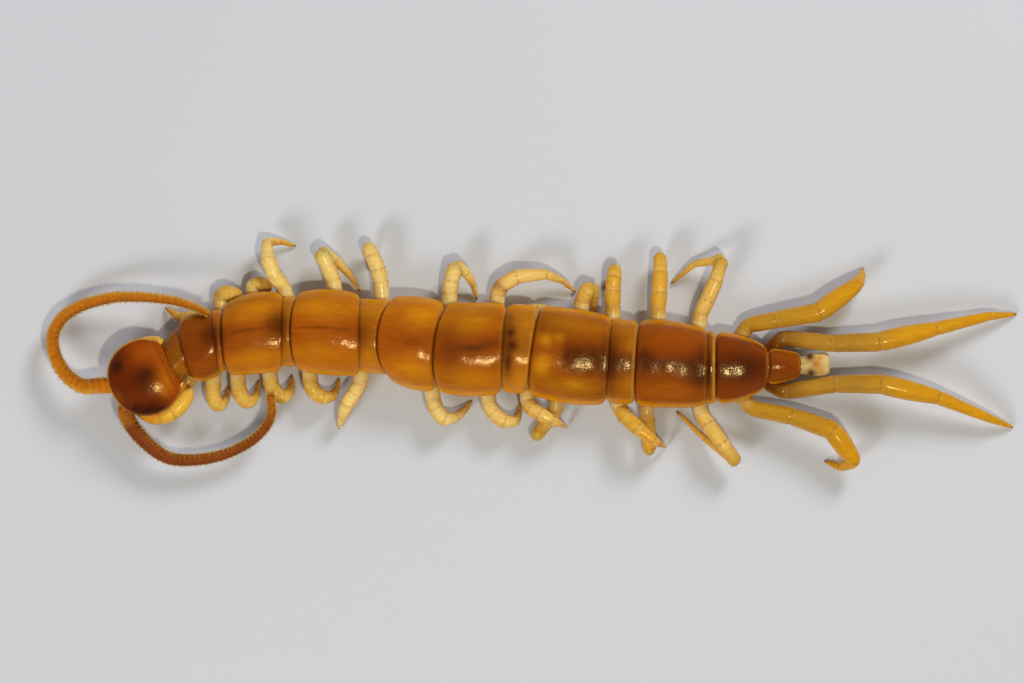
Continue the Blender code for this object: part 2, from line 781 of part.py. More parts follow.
def leg_root(side, pair, station):
    """Centre of the root face: the side wall of the trunk plus the gap."""
    sign = 1 if side == "right" else -1
    taper = max(0.0, half_width(station - LEG_ROOT_WIDTH / 2) - half_width(station))
    across = half_width(station) - wall_inset(station, side) + GAP + taper
    height = TUCKED_ROOT_HEIGHT if (side, pair) in TUCKED_LEGS else LEG_ROOT_HEIGHT
    return Vector((station, between(BODY_LINE, station, 1) + sign * across, height))


def add_bar(shape, start, end, width, end_width, flat_start):
    """Adds a straight bar with domed ends or a flat start, and none of it below the floor."""
    along = (end - start).normalized()
    across = along.cross(Vector((0, 0, 1))).normalized()
    up = along.cross(across)
    stations = [(start, -1, 0.0, 1.0, width)] if flat_start else []
    if not flat_start:
        stations += [(start, -1, reach, share, width) for reach, share in DOME_RINGS]
    stations += [(end, 1, reach, share, end_width) for reach, share in reversed(DOME_RINGS)]
    rings = []
    for place, sense, reach, share, full in stations:
        centre = place + along * (sense * reach * full / 2)
        ring = []
        for turn in range(BAR_SIDES):
            angle = 2 * math.pi * turn / BAR_SIDES
            point = centre + (across * math.cos(angle) + up * math.sin(angle)) * (share * full / 2)
            ring.append((point.x, point.y, max(point.z, 0.0)))
        rings.append(ring)
    loft(rings, shape)


def folded_leg(name, points, widths):
    """One skin round six bars that overlap at the joints, so a fold of the leg stays one closed body."""
    shape = bmesh.new()
    for joint, (start, end) in enumerate(zip(points, points[1:])):
        last = joint == len(points) - 2
        end_width = widths[joint + 1] if last else widths[joint]
        add_bar(shape, start, end, widths[joint], end_width, joint == 0)
    bars = made(name + "_bars", shape)
    skin = bars.modifiers.new("skin", "REMESH")
    skin.mode = "VOXEL"
    skin.voxel_size = LEG_VOXEL
    fewer = bars.modifiers.new("fewer", "DECIMATE")
    fewer.ratio = LEG_FACES_KEPT
    bpy.context.view_layer.update()
    graph = bpy.context.evaluated_depsgraph_get()
    mesh = bpy.data.meshes.new_from_object(bars.evaluated_get(graph))
    bpy.data.objects.remove(bars, do_unlink=True)
    for vertex in mesh.vertices:
        vertex.co.z = max(vertex.co.z, 0.0)
    obj = bpy.data.objects.new(name, mesh)
    bpy.context.scene.collection.objects.link(obj)
    keep_largest_surface(obj)
    return obj


def leg(side, pair, station, moves):
    """Six joints from hip to claw, each a little waisted where it meets the next on the long hind legs."""
    name = f"leg_{side}_{pair:02d}"
    points = walk(leg_root(side, pair, station), moves)
    if pair not in HIND_LEGS:
        return finished(folded_leg(name, points, LEG_WIDTHS), "leg")
    joint_widths = HIND_LEG_WIDTHS
    places, widths = [points[0]], [LEG_ROOT_WIDTH]
    for joint, (start, end) in enumerate(zip(points, points[1:])):
        width, next_width = joint_widths[joint], joint_widths[joint + 1]
        for share in LEG_RING_SHARES:
            places.append(start.lerp(end, share))
            widths.append(width if joint < 5 else width + (next_width - width) * share)
        places.append(end)
        widths.append(joint_widths[-1] if joint == len(moves) - 1 else (width + next_width) / 2 * LEG_NECK)
    return finished(made(name, tube(places, widths, LEG_SIDES)), "hind_leg")


def build():
    clear_scene()
    head_shield()
    claw_plate()
    poison_claw("left", 1)
    poison_claw("right", -1)
    for side, start, moves in ANTENNAE:
        antenna(side, start, moves)
    for numbers in TRUNK_LENGTHS:
        trunk_length(numbers)
    terminal_segment()
    for side, pair, station, moves in LEGS:
        leg(side, pair, station, moves)


build()
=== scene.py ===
import math

import bpy
import numpy as np
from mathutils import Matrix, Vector


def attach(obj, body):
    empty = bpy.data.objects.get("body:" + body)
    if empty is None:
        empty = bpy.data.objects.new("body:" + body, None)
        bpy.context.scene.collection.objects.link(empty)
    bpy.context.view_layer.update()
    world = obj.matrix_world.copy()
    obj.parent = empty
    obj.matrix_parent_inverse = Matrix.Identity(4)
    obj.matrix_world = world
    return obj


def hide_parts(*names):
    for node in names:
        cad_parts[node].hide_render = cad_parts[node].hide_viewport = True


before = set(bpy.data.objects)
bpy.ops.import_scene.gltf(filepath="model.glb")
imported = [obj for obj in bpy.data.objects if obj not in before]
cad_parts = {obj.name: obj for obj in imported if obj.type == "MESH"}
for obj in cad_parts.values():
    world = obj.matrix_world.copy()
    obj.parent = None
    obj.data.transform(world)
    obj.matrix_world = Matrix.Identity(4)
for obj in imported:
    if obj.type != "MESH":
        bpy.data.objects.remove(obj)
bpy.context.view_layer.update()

millimetre = 0.001  # shapes are worked out in millimetres and scaled as they go into a mesh


# shared tools: colours, surfaces and meshes
def tint(red, green, blue):
    # a colour picked as 0..255 screen values, turned to linear light
    value = np.array([red, green, blue], float) / 255.0
    return np.where(value <= 0.04045, value / 12.92, ((value + 0.055) / 1.055) ** 2.4)


def smooth(low, high, value):
    # eased step: 0 below low, 1 above high, 3x^2 - 2x^3 between
    share = np.clip((value - low) / (high - low), 0.0, 1.0)
    return share * share * (3.0 - 2.0 * share)


def bump(value, centre, width):
    # bell curve exp(-(distance / width)^2)
    return np.exp(-(((value - centre) / width) ** 2))


def mixed(first, second, share):
    # linear blend of two colours, share may be an array
    share = np.asarray(share)[..., None]
    return first * (1.0 - share) + second * share


def unit(vectors):
    return vectors / np.maximum(np.linalg.norm(vectors, axis=-1, keepdims=True), 1e-12)


def closedGrid(points, paint):
    # a grid of rings, each ring closed on itself, both ends closed by a fan to the ring's middle
    rows, columns = points.shape[:2]
    index = np.arange(rows * columns).reshape(rows, columns)
    following = np.roll(index, -1, axis=1)
    a, b, c, d = index[:-1].ravel(), following[:-1].ravel(), following[1:].ravel(), index[1:].ravel()
    sides = np.concatenate([np.stack([a, b, c], 1), np.stack([a, c, d], 1)])
    first, last = rows * columns, rows * columns + 1
    startFan = np.stack([following[0], index[0], np.full(columns, first)], 1)
    endFan = np.stack([index[-1], following[-1], np.full(columns, last)], 1)
    verts = np.concatenate([points.reshape(-1, 3), [points[0].mean(0)], [points[-1].mean(0)]])
    colours = np.concatenate([paint.reshape(-1, 3), [paint[0].mean(0)], [paint[-1].mean(0)]])
    faces = np.concatenate([sides, startFan, endFan])
    corners = verts[faces]
    volume = np.einsum("ij,ij->i", corners[:, 0], np.cross(corners[:, 1], corners[:, 2])).sum()
    return verts, faces if volume > 0 else faces[:, ::-1], colours


def meshPiece(name, parts, material, nodes=(), uv=None):
    # parts: (points, triangles, colours) of closed surfaces, put together as one mesh
    starts = np.cumsum([0] + [len(part[0]) for part in parts])
    verts = np.concatenate([part[0] for part in parts]) * millimetre
    faces = np.concatenate([part[1] + start for part, start in zip(parts, starts)])
    colours = np.concatenate([part[2] for part in parts])
    mesh = bpy.data.meshes.new(name)
    mesh.vertices.add(len(verts))
    mesh.vertices.foreach_set("co", verts.ravel())
    mesh.loops.add(faces.size)
    mesh.loops.foreach_set("vertex_index", faces.ravel().astype(np.int32))
    mesh.polygons.add(len(faces))
    mesh.polygons.foreach_set("loop_start", np.arange(0, faces.size, 3, dtype=np.int32))
    mesh.polygons.foreach_set("use_smooth", np.ones(len(faces), bool))
    mesh.update(calc_edges=True)
    paint = mesh.color_attributes.new("paint", "FLOAT_COLOR", "POINT")
    paint.data.foreach_set("color", np.concatenate([colours, np.ones((len(colours), 1))], 1).ravel())
    if uv is not None:
        layer = mesh.uv_layers.new(name="OFBake")
        layer.data.foreach_set("uv", uv[faces.ravel()].ravel())
    mesh.materials.append(material)
    piece = bpy.data.objects.new(name, mesh)
    bpy.context.scene.collection.objects.link(piece)
    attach(piece, "root")
    if nodes:
        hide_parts(*nodes)
    print("made", name, len(faces), "triangles")


def framesAlong(path):
    # unit tangent of each point of a path, and two unit vectors square to it carried along without twist
    steps = np.gradient(path, axis=0)
    along = unit(steps)
    sideways = np.zeros_like(path)
    side = np.cross(along[0], [0.0, 0.0, 1.0])
    side = side / max(np.linalg.norm(side), 1e-9)
    for row, direction in enumerate(along):
        side = side - direction * side.dot(direction)
        side = side / np.linalg.norm(side)
        sideways[row] = side
    return along, sideways, np.cross(along, sideways)


def carried(path, radii, columns):
    # round profile carried along a path: centre + radius * (cos * sideways + sin * upwards)
    along, sideways, upwards = framesAlong(path)
    turn = np.linspace(0, 2 * np.pi, columns, endpoint=False)
    ring = (
        sideways[:, None, :] * np.cos(turn)[None, :, None]
        + upwards[:, None, :] * np.sin(turn)[None, :, None]
    )
    return path[:, None, :] + ring * np.asarray(radii)[:, None, None], ring


def curveThrough(points, count):
    # Catmull-Rom curve through the points, resampled evenly by length
    points = np.asarray(points, float)
    knots = np.vstack([2 * points[0] - points[1], points, 2 * points[-1] - points[-2]])
    t = np.linspace(0, 1, 24, endpoint=False)[:, None]
    a, b, c, d = (knots[i : len(knots) - 3 + i][:, None, :] for i in range(4))
    curve = 0.5 * (2 * b + (c - a) * t + (2 * a - 5 * b + 4 * c - d) * t**2 + (3 * b - a - 3 * c + d) * t**3)
    curve = np.vstack([curve.reshape(-1, 3), points[-1]])
    length = np.concatenate([[0], np.cumsum(np.linalg.norm(np.diff(curve, axis=0), axis=1))])
    goal = np.linspace(0, length[-1], count)
    return np.stack([np.interp(goal, length, curve[:, i]) for i in range(3)], 1)


def walked(start, moves):
    # points reached from a start by moves of plan length, heading and height
    moves = np.asarray(moves, float)
    heading = np.radians(moves[:, 1])
    plan = np.cumsum(np.stack([np.cos(heading), np.sin(heading)], 1) * moves[:, :1], axis=0)
    reached = np.column_stack([np.asarray(start)[:2] + plan, moves[:, 2]])
    return np.vstack([start, reached])


# shader wrapper: values are wrapped sockets, so masks are written as plain arithmetic
class Value:
    def __init__(self, tree, socket):
        self.tree, self.socket = tree, socket

    def node(self, kind, settings=None, **inputs):
        made = self.tree.nodes.new(kind)
        for name, value in (settings or {}).items():
            setattr(made, name, value)
        for name, value in inputs.items():
            numbered = name[0] == "n" and name[1:].isdigit()
            target = made.inputs[int(name[1:]) if numbered else name.replace("_", " ")]
            if isinstance(value, Value):
                self.tree.links.new(value.socket, target)
            else:
                target.default_value = value
        return made

    def maths(self, operation, first, second=0.0):
        made = self.node("ShaderNodeMath", {"operation": operation}, n0=first, n1=second)
        return Value(self.tree, made.outputs[0])

    def __add__(self, other):
        return self.maths("ADD", self, other)

    def __radd__(self, other):
        return self.maths("ADD", other, self)

    def __sub__(self, other):
        return self.maths("SUBTRACT", self, other)

    def __rsub__(self, other):
        return self.maths("SUBTRACT", other, self)

    def __mul__(self, other):
        return self.maths("MULTIPLY", self, other)

    def __rmul__(self, other):
        return self.maths("MULTIPLY", other, self)


def chitin(name, **changes):
    # painted colour times a soft mottle, with gloss that varies a little and a fine bump
    look = {**plainLook, **changes}
    material = bpy.data.materials.new(name)
    material.use_nodes = True
    tree = material.node_tree
    surface = tree.nodes["Principled BSDF"]
    start = Value(tree, None)
    place = Value(tree, start.node("ShaderNodeTexCoord").outputs["Object"])

    def noise(scale, detail, stretch):
        # noise in object coordinates, drawn out along the body by the stretch
        squeeze = (1.0 / stretch, 1.0, 1.0)
        drawn = start.node("ShaderNodeVectorMath", {"operation": "MULTIPLY"}, n0=place, n1=squeeze)
        made = start.node(
            "ShaderNodeTexNoise", None, Vector=Value(tree, drawn.outputs[0]),
            Scale=scale, Detail=detail, Roughness=0.55,
        )
        return Value(tree, made.outputs[0])

    paint = Value(tree, start.node("ShaderNodeAttribute", {"attribute_name": "paint"}).outputs["Color"])
    mottle = noise(look["mottleScale"], 4.0, look["stretch"])
    grain = noise(look["grainScale"], 3.0, look["stretch"])
    shade = (mottle - 0.5) * look["mottle"] + 1.0 + (grain - 0.5) * look["grain"]
    scaled = start.node("ShaderNodeVectorMath", {"operation": "SCALE"}, Vector=paint, Scale=shade)
    tree.links.new(scaled.outputs["Vector"], surface.inputs["Base Color"])
    rough = look["roughness"] + (mottle - 0.5) * look["roughnessSpread"]
    tree.links.new(rough.socket, surface.inputs["Roughness"])
    pits = noise(look["pitScale"], 2.0, 1.0)
    height = grain * look["grainHeight"] + pits * look["pitHeight"]
    depth = look["bumpDepth"] * millimetre
    relief = start.node("ShaderNodeBump", None, Strength=look["bump"], Distance=depth, Height=height)
    tree.links.new(relief.outputs["Normal"], surface.inputs["Normal"])
    surface.inputs["Subsurface Weight"].default_value = look["glow"]
    surface.inputs["Subsurface Radius"].default_value = look["glowReach"]
    surface.inputs["Subsurface Scale"].default_value = look["glowDepth"] * millimetre
    surface.inputs["Specular IOR Level"].default_value = look["specular"]
    surface.inputs["Specular Tint"].default_value = (*look["gloss"], 1.0)
    return material


plainLook = {
    "mottleScale": 1500.0, "mottle": 0.80, "stretch": 3.5, "grainScale": 9000.0, "grain": 0.45,
    "roughness": 0.19, "roughnessSpread": 0.08, "specular": 0.35, "gloss": (1.0, 0.80, 0.42),
    "bump": 0.36, "bumpDepth": 0.02, "pitScale": 13000.0, "grainHeight": 0.6, "pitHeight": 0.7,
    "glow": 0.12, "glowDepth": 0.22, "glowReach": (1.0, 0.45, 0.12),
}
platesMaterial = chitin("platesChitin")
headMaterial = chitin("headChitin", mottle=0.4)
legMaterial = chitin("legChitin", mottle=0.26, bump=0.25, glow=0.35, glowDepth=0.40)
antennaMaterial = chitin("antennaChitin", mottle=0.3, roughness=0.5, glow=0.15)
clawMaterial = chitin("clawChitin", mottle=0.25, bump=0.3, glow=0.30, glowDepth=0.4)
eyeMaterial = chitin("ocellusGlass", mottle=0.0, grain=0.0, bump=0.0, roughness=0.12, glow=0.0)
bristleMaterial = chitin("bristle", mottle=0.1, grain=0.0, bump=0.0, roughness=0.5, glow=0.2, specular=0.2)


# body line and plates, shared by the trunk, the legs and the tail
body = {
    # station, Y of the midline, height of the back, height of the belly
    "line": (
        (-11.20, -0.46, 1.10, 0.30), (-10.75, -0.20, 1.42, 0.10), (-10.45, 0.10, 1.48, 0.00),
        (-10.05, 0.21, 1.50, 0.00), (-9.30, 0.45, 1.54, 0.00), (-8.50, 0.63, 1.60, 0.00),
        (-7.30, 0.70, 1.64, 0.00), (-6.20, 0.69, 1.70, 0.00), (-4.90, 0.57, 1.70, 0.00),
        (-3.80, 0.37, 1.74, 0.00), (-2.00, 0.165, 1.75, 0.00), (-0.50, 0.19, 1.72, 0.00),
        (1.25, -0.05, 1.74, 0.00), (2.50, -0.18, 1.70, 0.00), (4.00, -0.27, 1.66, 0.00),
        (5.15, -0.36, 1.58, 0.00), (6.30, -0.39, 1.46, 0.00), (7.50, -0.33, 1.24, 0.10),
        (8.90, -0.27, 0.98, 0.30),
    ),
    # front and rear station, half width at front, middle and rear, of tergites 1 to 15
    "plates": (
        (-10.47, -9.44, 0.92, 1.01, 0.98), (-9.44, -9.22, 0.92, 0.93, 0.95), (-9.22, -7.46, 1.06, 1.22, 1.17),
        (-7.46, -7.26, 1.05, 1.04, 1.05), (-7.26, -5.15, 1.15, 1.29, 1.22), (-5.15, -4.66, 1.10, 1.11, 1.14),
        (-4.66, -2.95, 1.22, 1.39, 1.34), (-2.95, -0.93, 1.33, 1.41, 1.36), (-0.93, -0.12, 1.31, 1.34, 1.30),
        (-0.12, 2.10, 1.32, 1.42, 1.33), (2.10, 2.99, 1.26, 1.27, 1.24), (2.99, 5.15, 1.29, 1.30, 1.15),
        (5.15, 5.42, 1.10, 1.09, 1.07), (5.42, 7.06, 1.08, 0.97, 0.60), (7.06, 8.02, 0.58, 0.48, 0.36),
    ),
    "overhang": 0.23,
    "edgeHeight": 0.92,
    "edgeShare": 0.64,
    "domePower": 2.3,
    "footHeight": 0.20,
}


def atStation(station, column):
    # cubic Hermite curve through one column of the body line, slopes from the rows on both sides
    rows = np.array(body["line"])
    knots, values = rows[:, 0], rows[:, column]
    slopes = np.gradient(values, knots)
    place = np.clip(station, knots[0], knots[-1])
    low = np.clip(np.searchsorted(knots, place, side="right") - 1, 0, len(knots) - 2)
    span = knots[low + 1] - knots[low]
    t = (place - knots[low]) / span
    start, end = values[low], values[low + 1]
    return (
        (2 * t**3 - 3 * t**2 + 1) * start + (t**3 - 2 * t**2 + t) * span * slopes[low]
        + (3 * t**2 - 2 * t**3) * end + (t**3 - t**2) * span * slopes[low + 1]
    )


def throughThree(t, first, middle, last):
    # quadratic: (1 - t)(1 - 2t) first + 4t(1 - t) middle + t(2t - 1) last
    return (1 - t) * (1 - 2 * t) * first + 4 * t * (1 - t) * middle + t * (2 * t - 1) * last


def halfAt(station):
    # half width of the tergite over one station
    rears = [plate[1] for plate in body["plates"]]
    front, rear, *widths = body["plates"][min(int(np.searchsorted(rears, station)), 14)]
    return throughThree(np.clip((station - front) / (rear - front), 0.0, 1.0), *widths)


# trunk: one closed skin of tergites, membranes, side walls and sternites
trunk = {
    "rowStep": 0.028,
    "columns": 96,
    "frontDip": 0.050,
    "frontRun": 0.11,
    # largest corner radius, and radius as a share of the plate's length
    "corner": {"front": (0.30, 0.36), "rear": (0.24, 0.18)},
    "ridge": 0.003,
    "swell": 0.045,
    # slope across the crown in front, and what it gains towards the rear
    "lean": (-0.03, 0.12),
    # two faint waves of the surface: depth, turns along and across, start
    "waves": ((0.008, 5.0, 3.0, 0.0), (0.004, 11.0, 5.0, 1.0)),
    "lagPower": 2.4,
    # first station, half width and slant at both ends, number, depth, length, sinking and slope of its rings
    "collar": {
        "from": -11.12, "step": 0.012, "half": (0.60, 0.70), "slant": (27.0, 15.0),
        "striae": 9, "depth": 0.006, "length": 0.58, "sunk": 0.045, "slope": 0.10,
    },
    # steps down behind each tergite: station and depth
    "step": ((0.005, -0.010), (0.008, -0.024), (0.007, -0.040), (0.010, -0.056)),
    # front and rear margin of each tergite at the midline, lag of each margin's corners, slant of each margin
    "margins": (
        (-10.54, -9.56, 0.10, 0.00, 15.0, 8.0), (-9.56, -9.38, 0.00, 0.06, 8.0, 4.0),
        (-9.38, -7.55, 0.12, 0.00, 4.0, 0.0),
        (-7.55, -7.32, 0.00, 0.16, 0.0, 0.0), (-7.32, -5.24, 0.18, 0.02, 0.0, 0.0),
        (-5.24, -4.72, 0.02, 0.34, 0.0, -3.0),
        (-4.72, -3.03, 0.36, 0.20, -3.0, -6.0), (-3.03, -0.96, 0.26, 0.04, -6.0, -3.0),
        (-0.96, -0.10, 0.06, 0.04, -3.0, -8.0),
        (-0.10, 2.20, 0.10, 0.02, -8.0, -4.0), (2.20, 3.01, 0.02, 0.04, -4.0, -3.0),
        (3.01, 5.17, 0.09, 0.02, -3.0, -1.0),
        (5.17, 5.41, 0.02, 0.02, -1.0, 0.0), (5.41, 7.04, 0.05, -0.03, 0.0, 0.0),
        (7.04, 8.00, -0.02, 0.00, 0.0, 0.0),
    ),
    "colours": {
        "medial": tint(168, 83, 8), "lateral": tint(194, 112, 12), "dark": tint(66, 23, 4),
        "amber": tint(210, 138, 14),
        "olive": tint(160, 106, 24), "red": tint(176, 74, 8), "pale": tint(206, 146, 50),
        "membrane": tint(200, 172, 120),
        "side": tint(208, 160, 76), "belly": tint(212, 164, 80), "edge": tint(84, 32, 4),
        "collar": tint(122, 60, 6), "collarRidge": tint(190, 122, 16),
    },
    # tone of each tergite: shares of dark at the middle and at the sides, share of olive (below zero: red)
    "tones": (
        (0.46, 0.52, -0.5), (0.14, 0.14, -0.2), (0.24, 0.10, 0.0), (0.30, 0.22, 0.2), (0.04, 0.08, 0.0),
        (0.24, 0.12, 0.15), (0.10, 0.08, 0.0), (0.30, 0.16, -0.1), (0.08, 0.0, 0.38), (0.30, 0.36, -0.15),
        (0.36, 0.30, 0.1), (0.46, 0.38, -0.6), (0.72, 0.54, -0.2), (0.72, 0.56, -0.8), (0.52, 0.52, -0.4),
    ),
    # share of pale along each tergite's rear edge
    "rims": (0.0, 0.1, 0.0, 0.1, 0.0, 0.1, 0.0, 0.15, 0.30, 0.10, 0.45, 0.10, 0.75, 0.30, 0.20),
    # station, across, reach along, reach across, share of dark (below zero: amber)
    "marks": (
        (-10.3, 0.2, 0.25, 0.4, 0.20), (-9.68, 0.22, 0.30, 0.34, 0.80), (-9.42, 0.1, 0.18, 0.50, 0.80),
        (-8.65, 0.10, 0.60, 0.045, 0.60), (-9.05, 0.3, 0.15, 0.5, 0.25), (-8.3, -0.45, 0.60, 0.30, 0.16),
        (-7.85, 0.22, 0.22, 0.20, 0.40),
        (-8.3, -0.72, 0.6, 0.25, -0.45), (-8.3, 0.72, 0.6, 0.3, -0.5), (-7.58, 0.20, 0.32, 0.40, 0.78),
        (-7.65, 0.5, 0.25, 0.3, 0.2),
        (-6.45, 0.12, 0.80, 0.05, 0.60), (-6.4, -0.55, 0.75, 0.30, -0.30), (-6.3, 0.70, 0.8, 0.30, -0.50),
        (-5.6, 0.15, 0.3, 0.25, 0.22),
        (-5.15, 0.10, 0.22, 0.50, 0.40), (-4.95, -0.6, 0.2, 0.35, -0.35), (-4.85, 0.9, 0.3, 0.3, -0.3),
        (-4.15, 0.45, 0.35, 0.5, 0.10), (-3.6, 0.05, 0.35, 0.14, 0.32), (-3.45, 0.85, 0.45, 0.35, -0.55),
        (-3.6, -0.75, 0.55, 0.35, -0.50),
        (-2.6, 0.1, 0.35, 0.75, 0.28), (-1.85, 0.05, 0.42, 0.11, 0.55), (-1.3, 0.2, 0.40, 0.20, 0.45),
        (-2.3, -0.2, 0.4, 0.4, 0.2),
        (-1.95, 0.90, 0.60, 0.35, -0.50), (-1.9, -0.85, 0.65, 0.32, -0.45),
        (-0.74, 0.47, 0.18, 0.18, 0.95), (-0.66, 0.10, 0.19, 0.20, 0.95), (-0.74, -0.40, 0.13, 0.36, 0.85),
        (-0.80, 0.85, 0.12, 0.25, 0.4),
        (-0.30, -0.90, 0.20, 0.35, -0.50), (-0.30, 0.80, 0.20, 0.30, -0.30),
        (-0.92, 0.2, 0.06, 0.8, 0.45), (-1.80, 0.05, 0.30, 0.07, 0.35),
        (0.30, 0.38, 0.20, 0.20, -0.80), (0.28, -0.46, 0.26, 0.26, -0.85), (0.36, -0.20, 0.24, 0.20, -0.50),
        (0.70, 0.50, 0.16, 0.16, -0.45),
        (0.10, 0.85, 0.2, 0.3, 0.35), (0.62, 0.85, 0.5, 0.20, 0.25), (1.30, -0.80, 0.30, 0.14, -0.5),
        (1.00, 0.03, 0.17, 0.36, 0.82), (1.30, 0.0, 0.26, 0.42, 0.85), (1.72, 0.0, 0.28, 0.44, 0.85),
        (2.15, 0.0, 0.26, 0.52, 0.85),
        (2.35, -0.05, 0.16, 0.95, 0.50), (2.85, 0.60, 0.12, 0.35, -0.30), (2.85, -0.60, 0.12, 0.35, -0.30),
        (-0.80, 0.0, 0.14, 0.9, 0.40),
        (6.25, 0.0, 0.75, 0.42, 0.72), (4.95, 0.10, 0.24, 0.60, 0.50), (3.70, 0.0, 0.70, 0.26, 0.60),
        (4.60, 0.0, 0.55, 0.38, 0.60),
        (5.30, 0.0, 0.22, 0.48, 0.60), (2.55, 0.0, 0.55, 0.36, 0.60), (1.60, 0.0, 0.65, 0.40, 0.50),
        (2.25, -0.05, 0.20, 0.75, 0.55), (1.2, -0.9, 0.7, 0.25, -0.40),
        (1.0, 0.95, 0.8, 0.22, -0.30), (2.6, 0.0, 0.45, 0.22, 0.55), (3.25, 0.22, 0.20, 0.18, 0.60),
        (3.3, -0.05, 0.30, 0.25, 0.45),
        (4.1, 0.0, 0.90, 0.13, 0.60), (3.32, 0.18, 0.26, 0.26, 0.65), (4.98, -0.32, 0.26, 0.30, 0.60),
        (5.05, 0.25, 0.14, 0.35, 0.45), (4.85, -0.15, 0.35, 0.45, 0.55), (4.1, 0.45, 0.6, 0.25, 0.08),
        (4.2, -0.65, 0.6, 0.3, -0.12),
        (5.6, 0.05, 0.25, 0.30, 0.45), (6.2, 0.05, 0.55, 0.30, 0.45), (7.4, 0.1, 0.35, 0.30, 0.12),
    ),
}


def plateRows():
    # rows of the grid: station, lift, narrowing, plate number, distance from both margins, share between them
    rows = []
    front, rear, gap = trunk["collar"]["from"], trunk["margins"][0][0], trunk["collar"]["step"]
    for station in np.arange(front, rear - gap, gap):
        share = (station - front) / (rear - front)
        rows.append((station, 0.0, 0.0, -1, station - front, rear - station, share))
    for number, (start, end, *_) in enumerate(trunk["margins"]):
        length = end - start
        count = max(int(length / trunk["rowStep"]), 9)
        even = np.linspace(0.0, 1.0, count)
        spread = 0.5 - 0.5 * np.cos(np.pi * even)
        for t in 0.5 * spread + 0.5 * even:
            station = start + 0.016 + (length - 0.016) * t
            ahead, behind = station - start, end - station
            run = min(trunk["frontRun"], length * 0.6)
            lift = -trunk["frontDip"] * (1.0 - float(smooth(0.0, run, ahead)))
            lift += trunk["ridge"] * float(bump(behind, 0.05, 0.03))
            lift += trunk["swell"] * (4.0 * t * (1.0 - t) - 1.0) * min(length, 1.5)
            narrowing = 0.0
            for side, distance in (("front", ahead), ("rear", behind)):
                most, share = trunk["corner"][side]
                corner = min(most, share * length) if length > 0.6 else 0.07
                near = max(0.0, 1.0 - distance / corner)
                narrowing = max(narrowing, corner * 0.6 * (1.0 - math.sqrt(max(0.0, 1.0 - near**2))))
            rows.append((station, lift, narrowing, number, ahead, behind, t))
        for shift, drop in trunk["step"]:
            rows.append((end + shift, drop, narrowing - drop * 0.3, number, length, -0.01, 1.0))
    return np.array(rows)


def curveWeights(count, steps):
    # weights of a Catmull-Rom curve over a row of control points
    weights = np.zeros((steps, count))
    for row, place in enumerate(np.linspace(0, count - 1, steps + 1)[1:]):
        low = min(int(place), count - 2)
        t = place - low
        factors = (-t + 2 * t**2 - t**3, 2 - 5 * t**2 + 3 * t**3, t + 4 * t**2 - 3 * t**3, -(t**2) + t**3)
        for offset, factor in zip((-1, 0, 1, 2), factors):
            weights[row, min(max(low + offset, 0), count - 1)] += factor / 2
    return weights


def bodySection(half, top, edge, wall, belly, columns):
    # half section from crown to belly: dome edge + (top - edge)(1 - f^2.3)^0.75, rounded margin, wall, belly
    domeCount = columns * 7 // 24
    f = np.sin(np.linspace(0, np.pi / 2, domeCount))
    f = 0.35 * np.linspace(0, 1, domeCount) + 0.65 * f
    across = half[:, None] * f
    height = edge[:, None] + (top - edge)[:, None] * np.maximum(1 - f**body["domePower"], 0.0) ** 0.75
    foot = belly + body["footHeight"]
    side = 0.5 * (edge - 0.2 + foot)
    controls = np.stack([np.stack(pair, 1) for pair in (
        (half, edge), (half - 0.015, edge - 0.05), (half - 0.08, edge - 0.08), (wall + 0.03, edge - 0.11),
        (wall - 0.02, edge - 0.20), (wall + 0.03, side), (wall, foot), (wall - 0.06, belly + 0.05),
        (wall - 0.18, belly + 0.004), (wall * 0.4, belly), (wall * 0.0, belly),
    )], 1)
    lower = np.einsum("sc,rcd->rsd", curveWeights(11, columns // 2 - domeCount + 1), controls)
    return np.concatenate([across, lower[..., 0]], 1), np.concatenate([height, lower[..., 1]], 1)


def bothSides(across, height):
    # the half section and its mirror image, crown and belly points once each
    mirrored = across[:, -2:0:-1]
    return np.concatenate([across, -mirrored], 1), np.concatenate([height, height[:, -2:0:-1]], 1)


def collarWave(ahead):
    # cosine along the collar, one turn a ring
    collar = trunk["collar"]
    return np.cos(2 * np.pi * collar["striae"] * ahead / collar["length"])


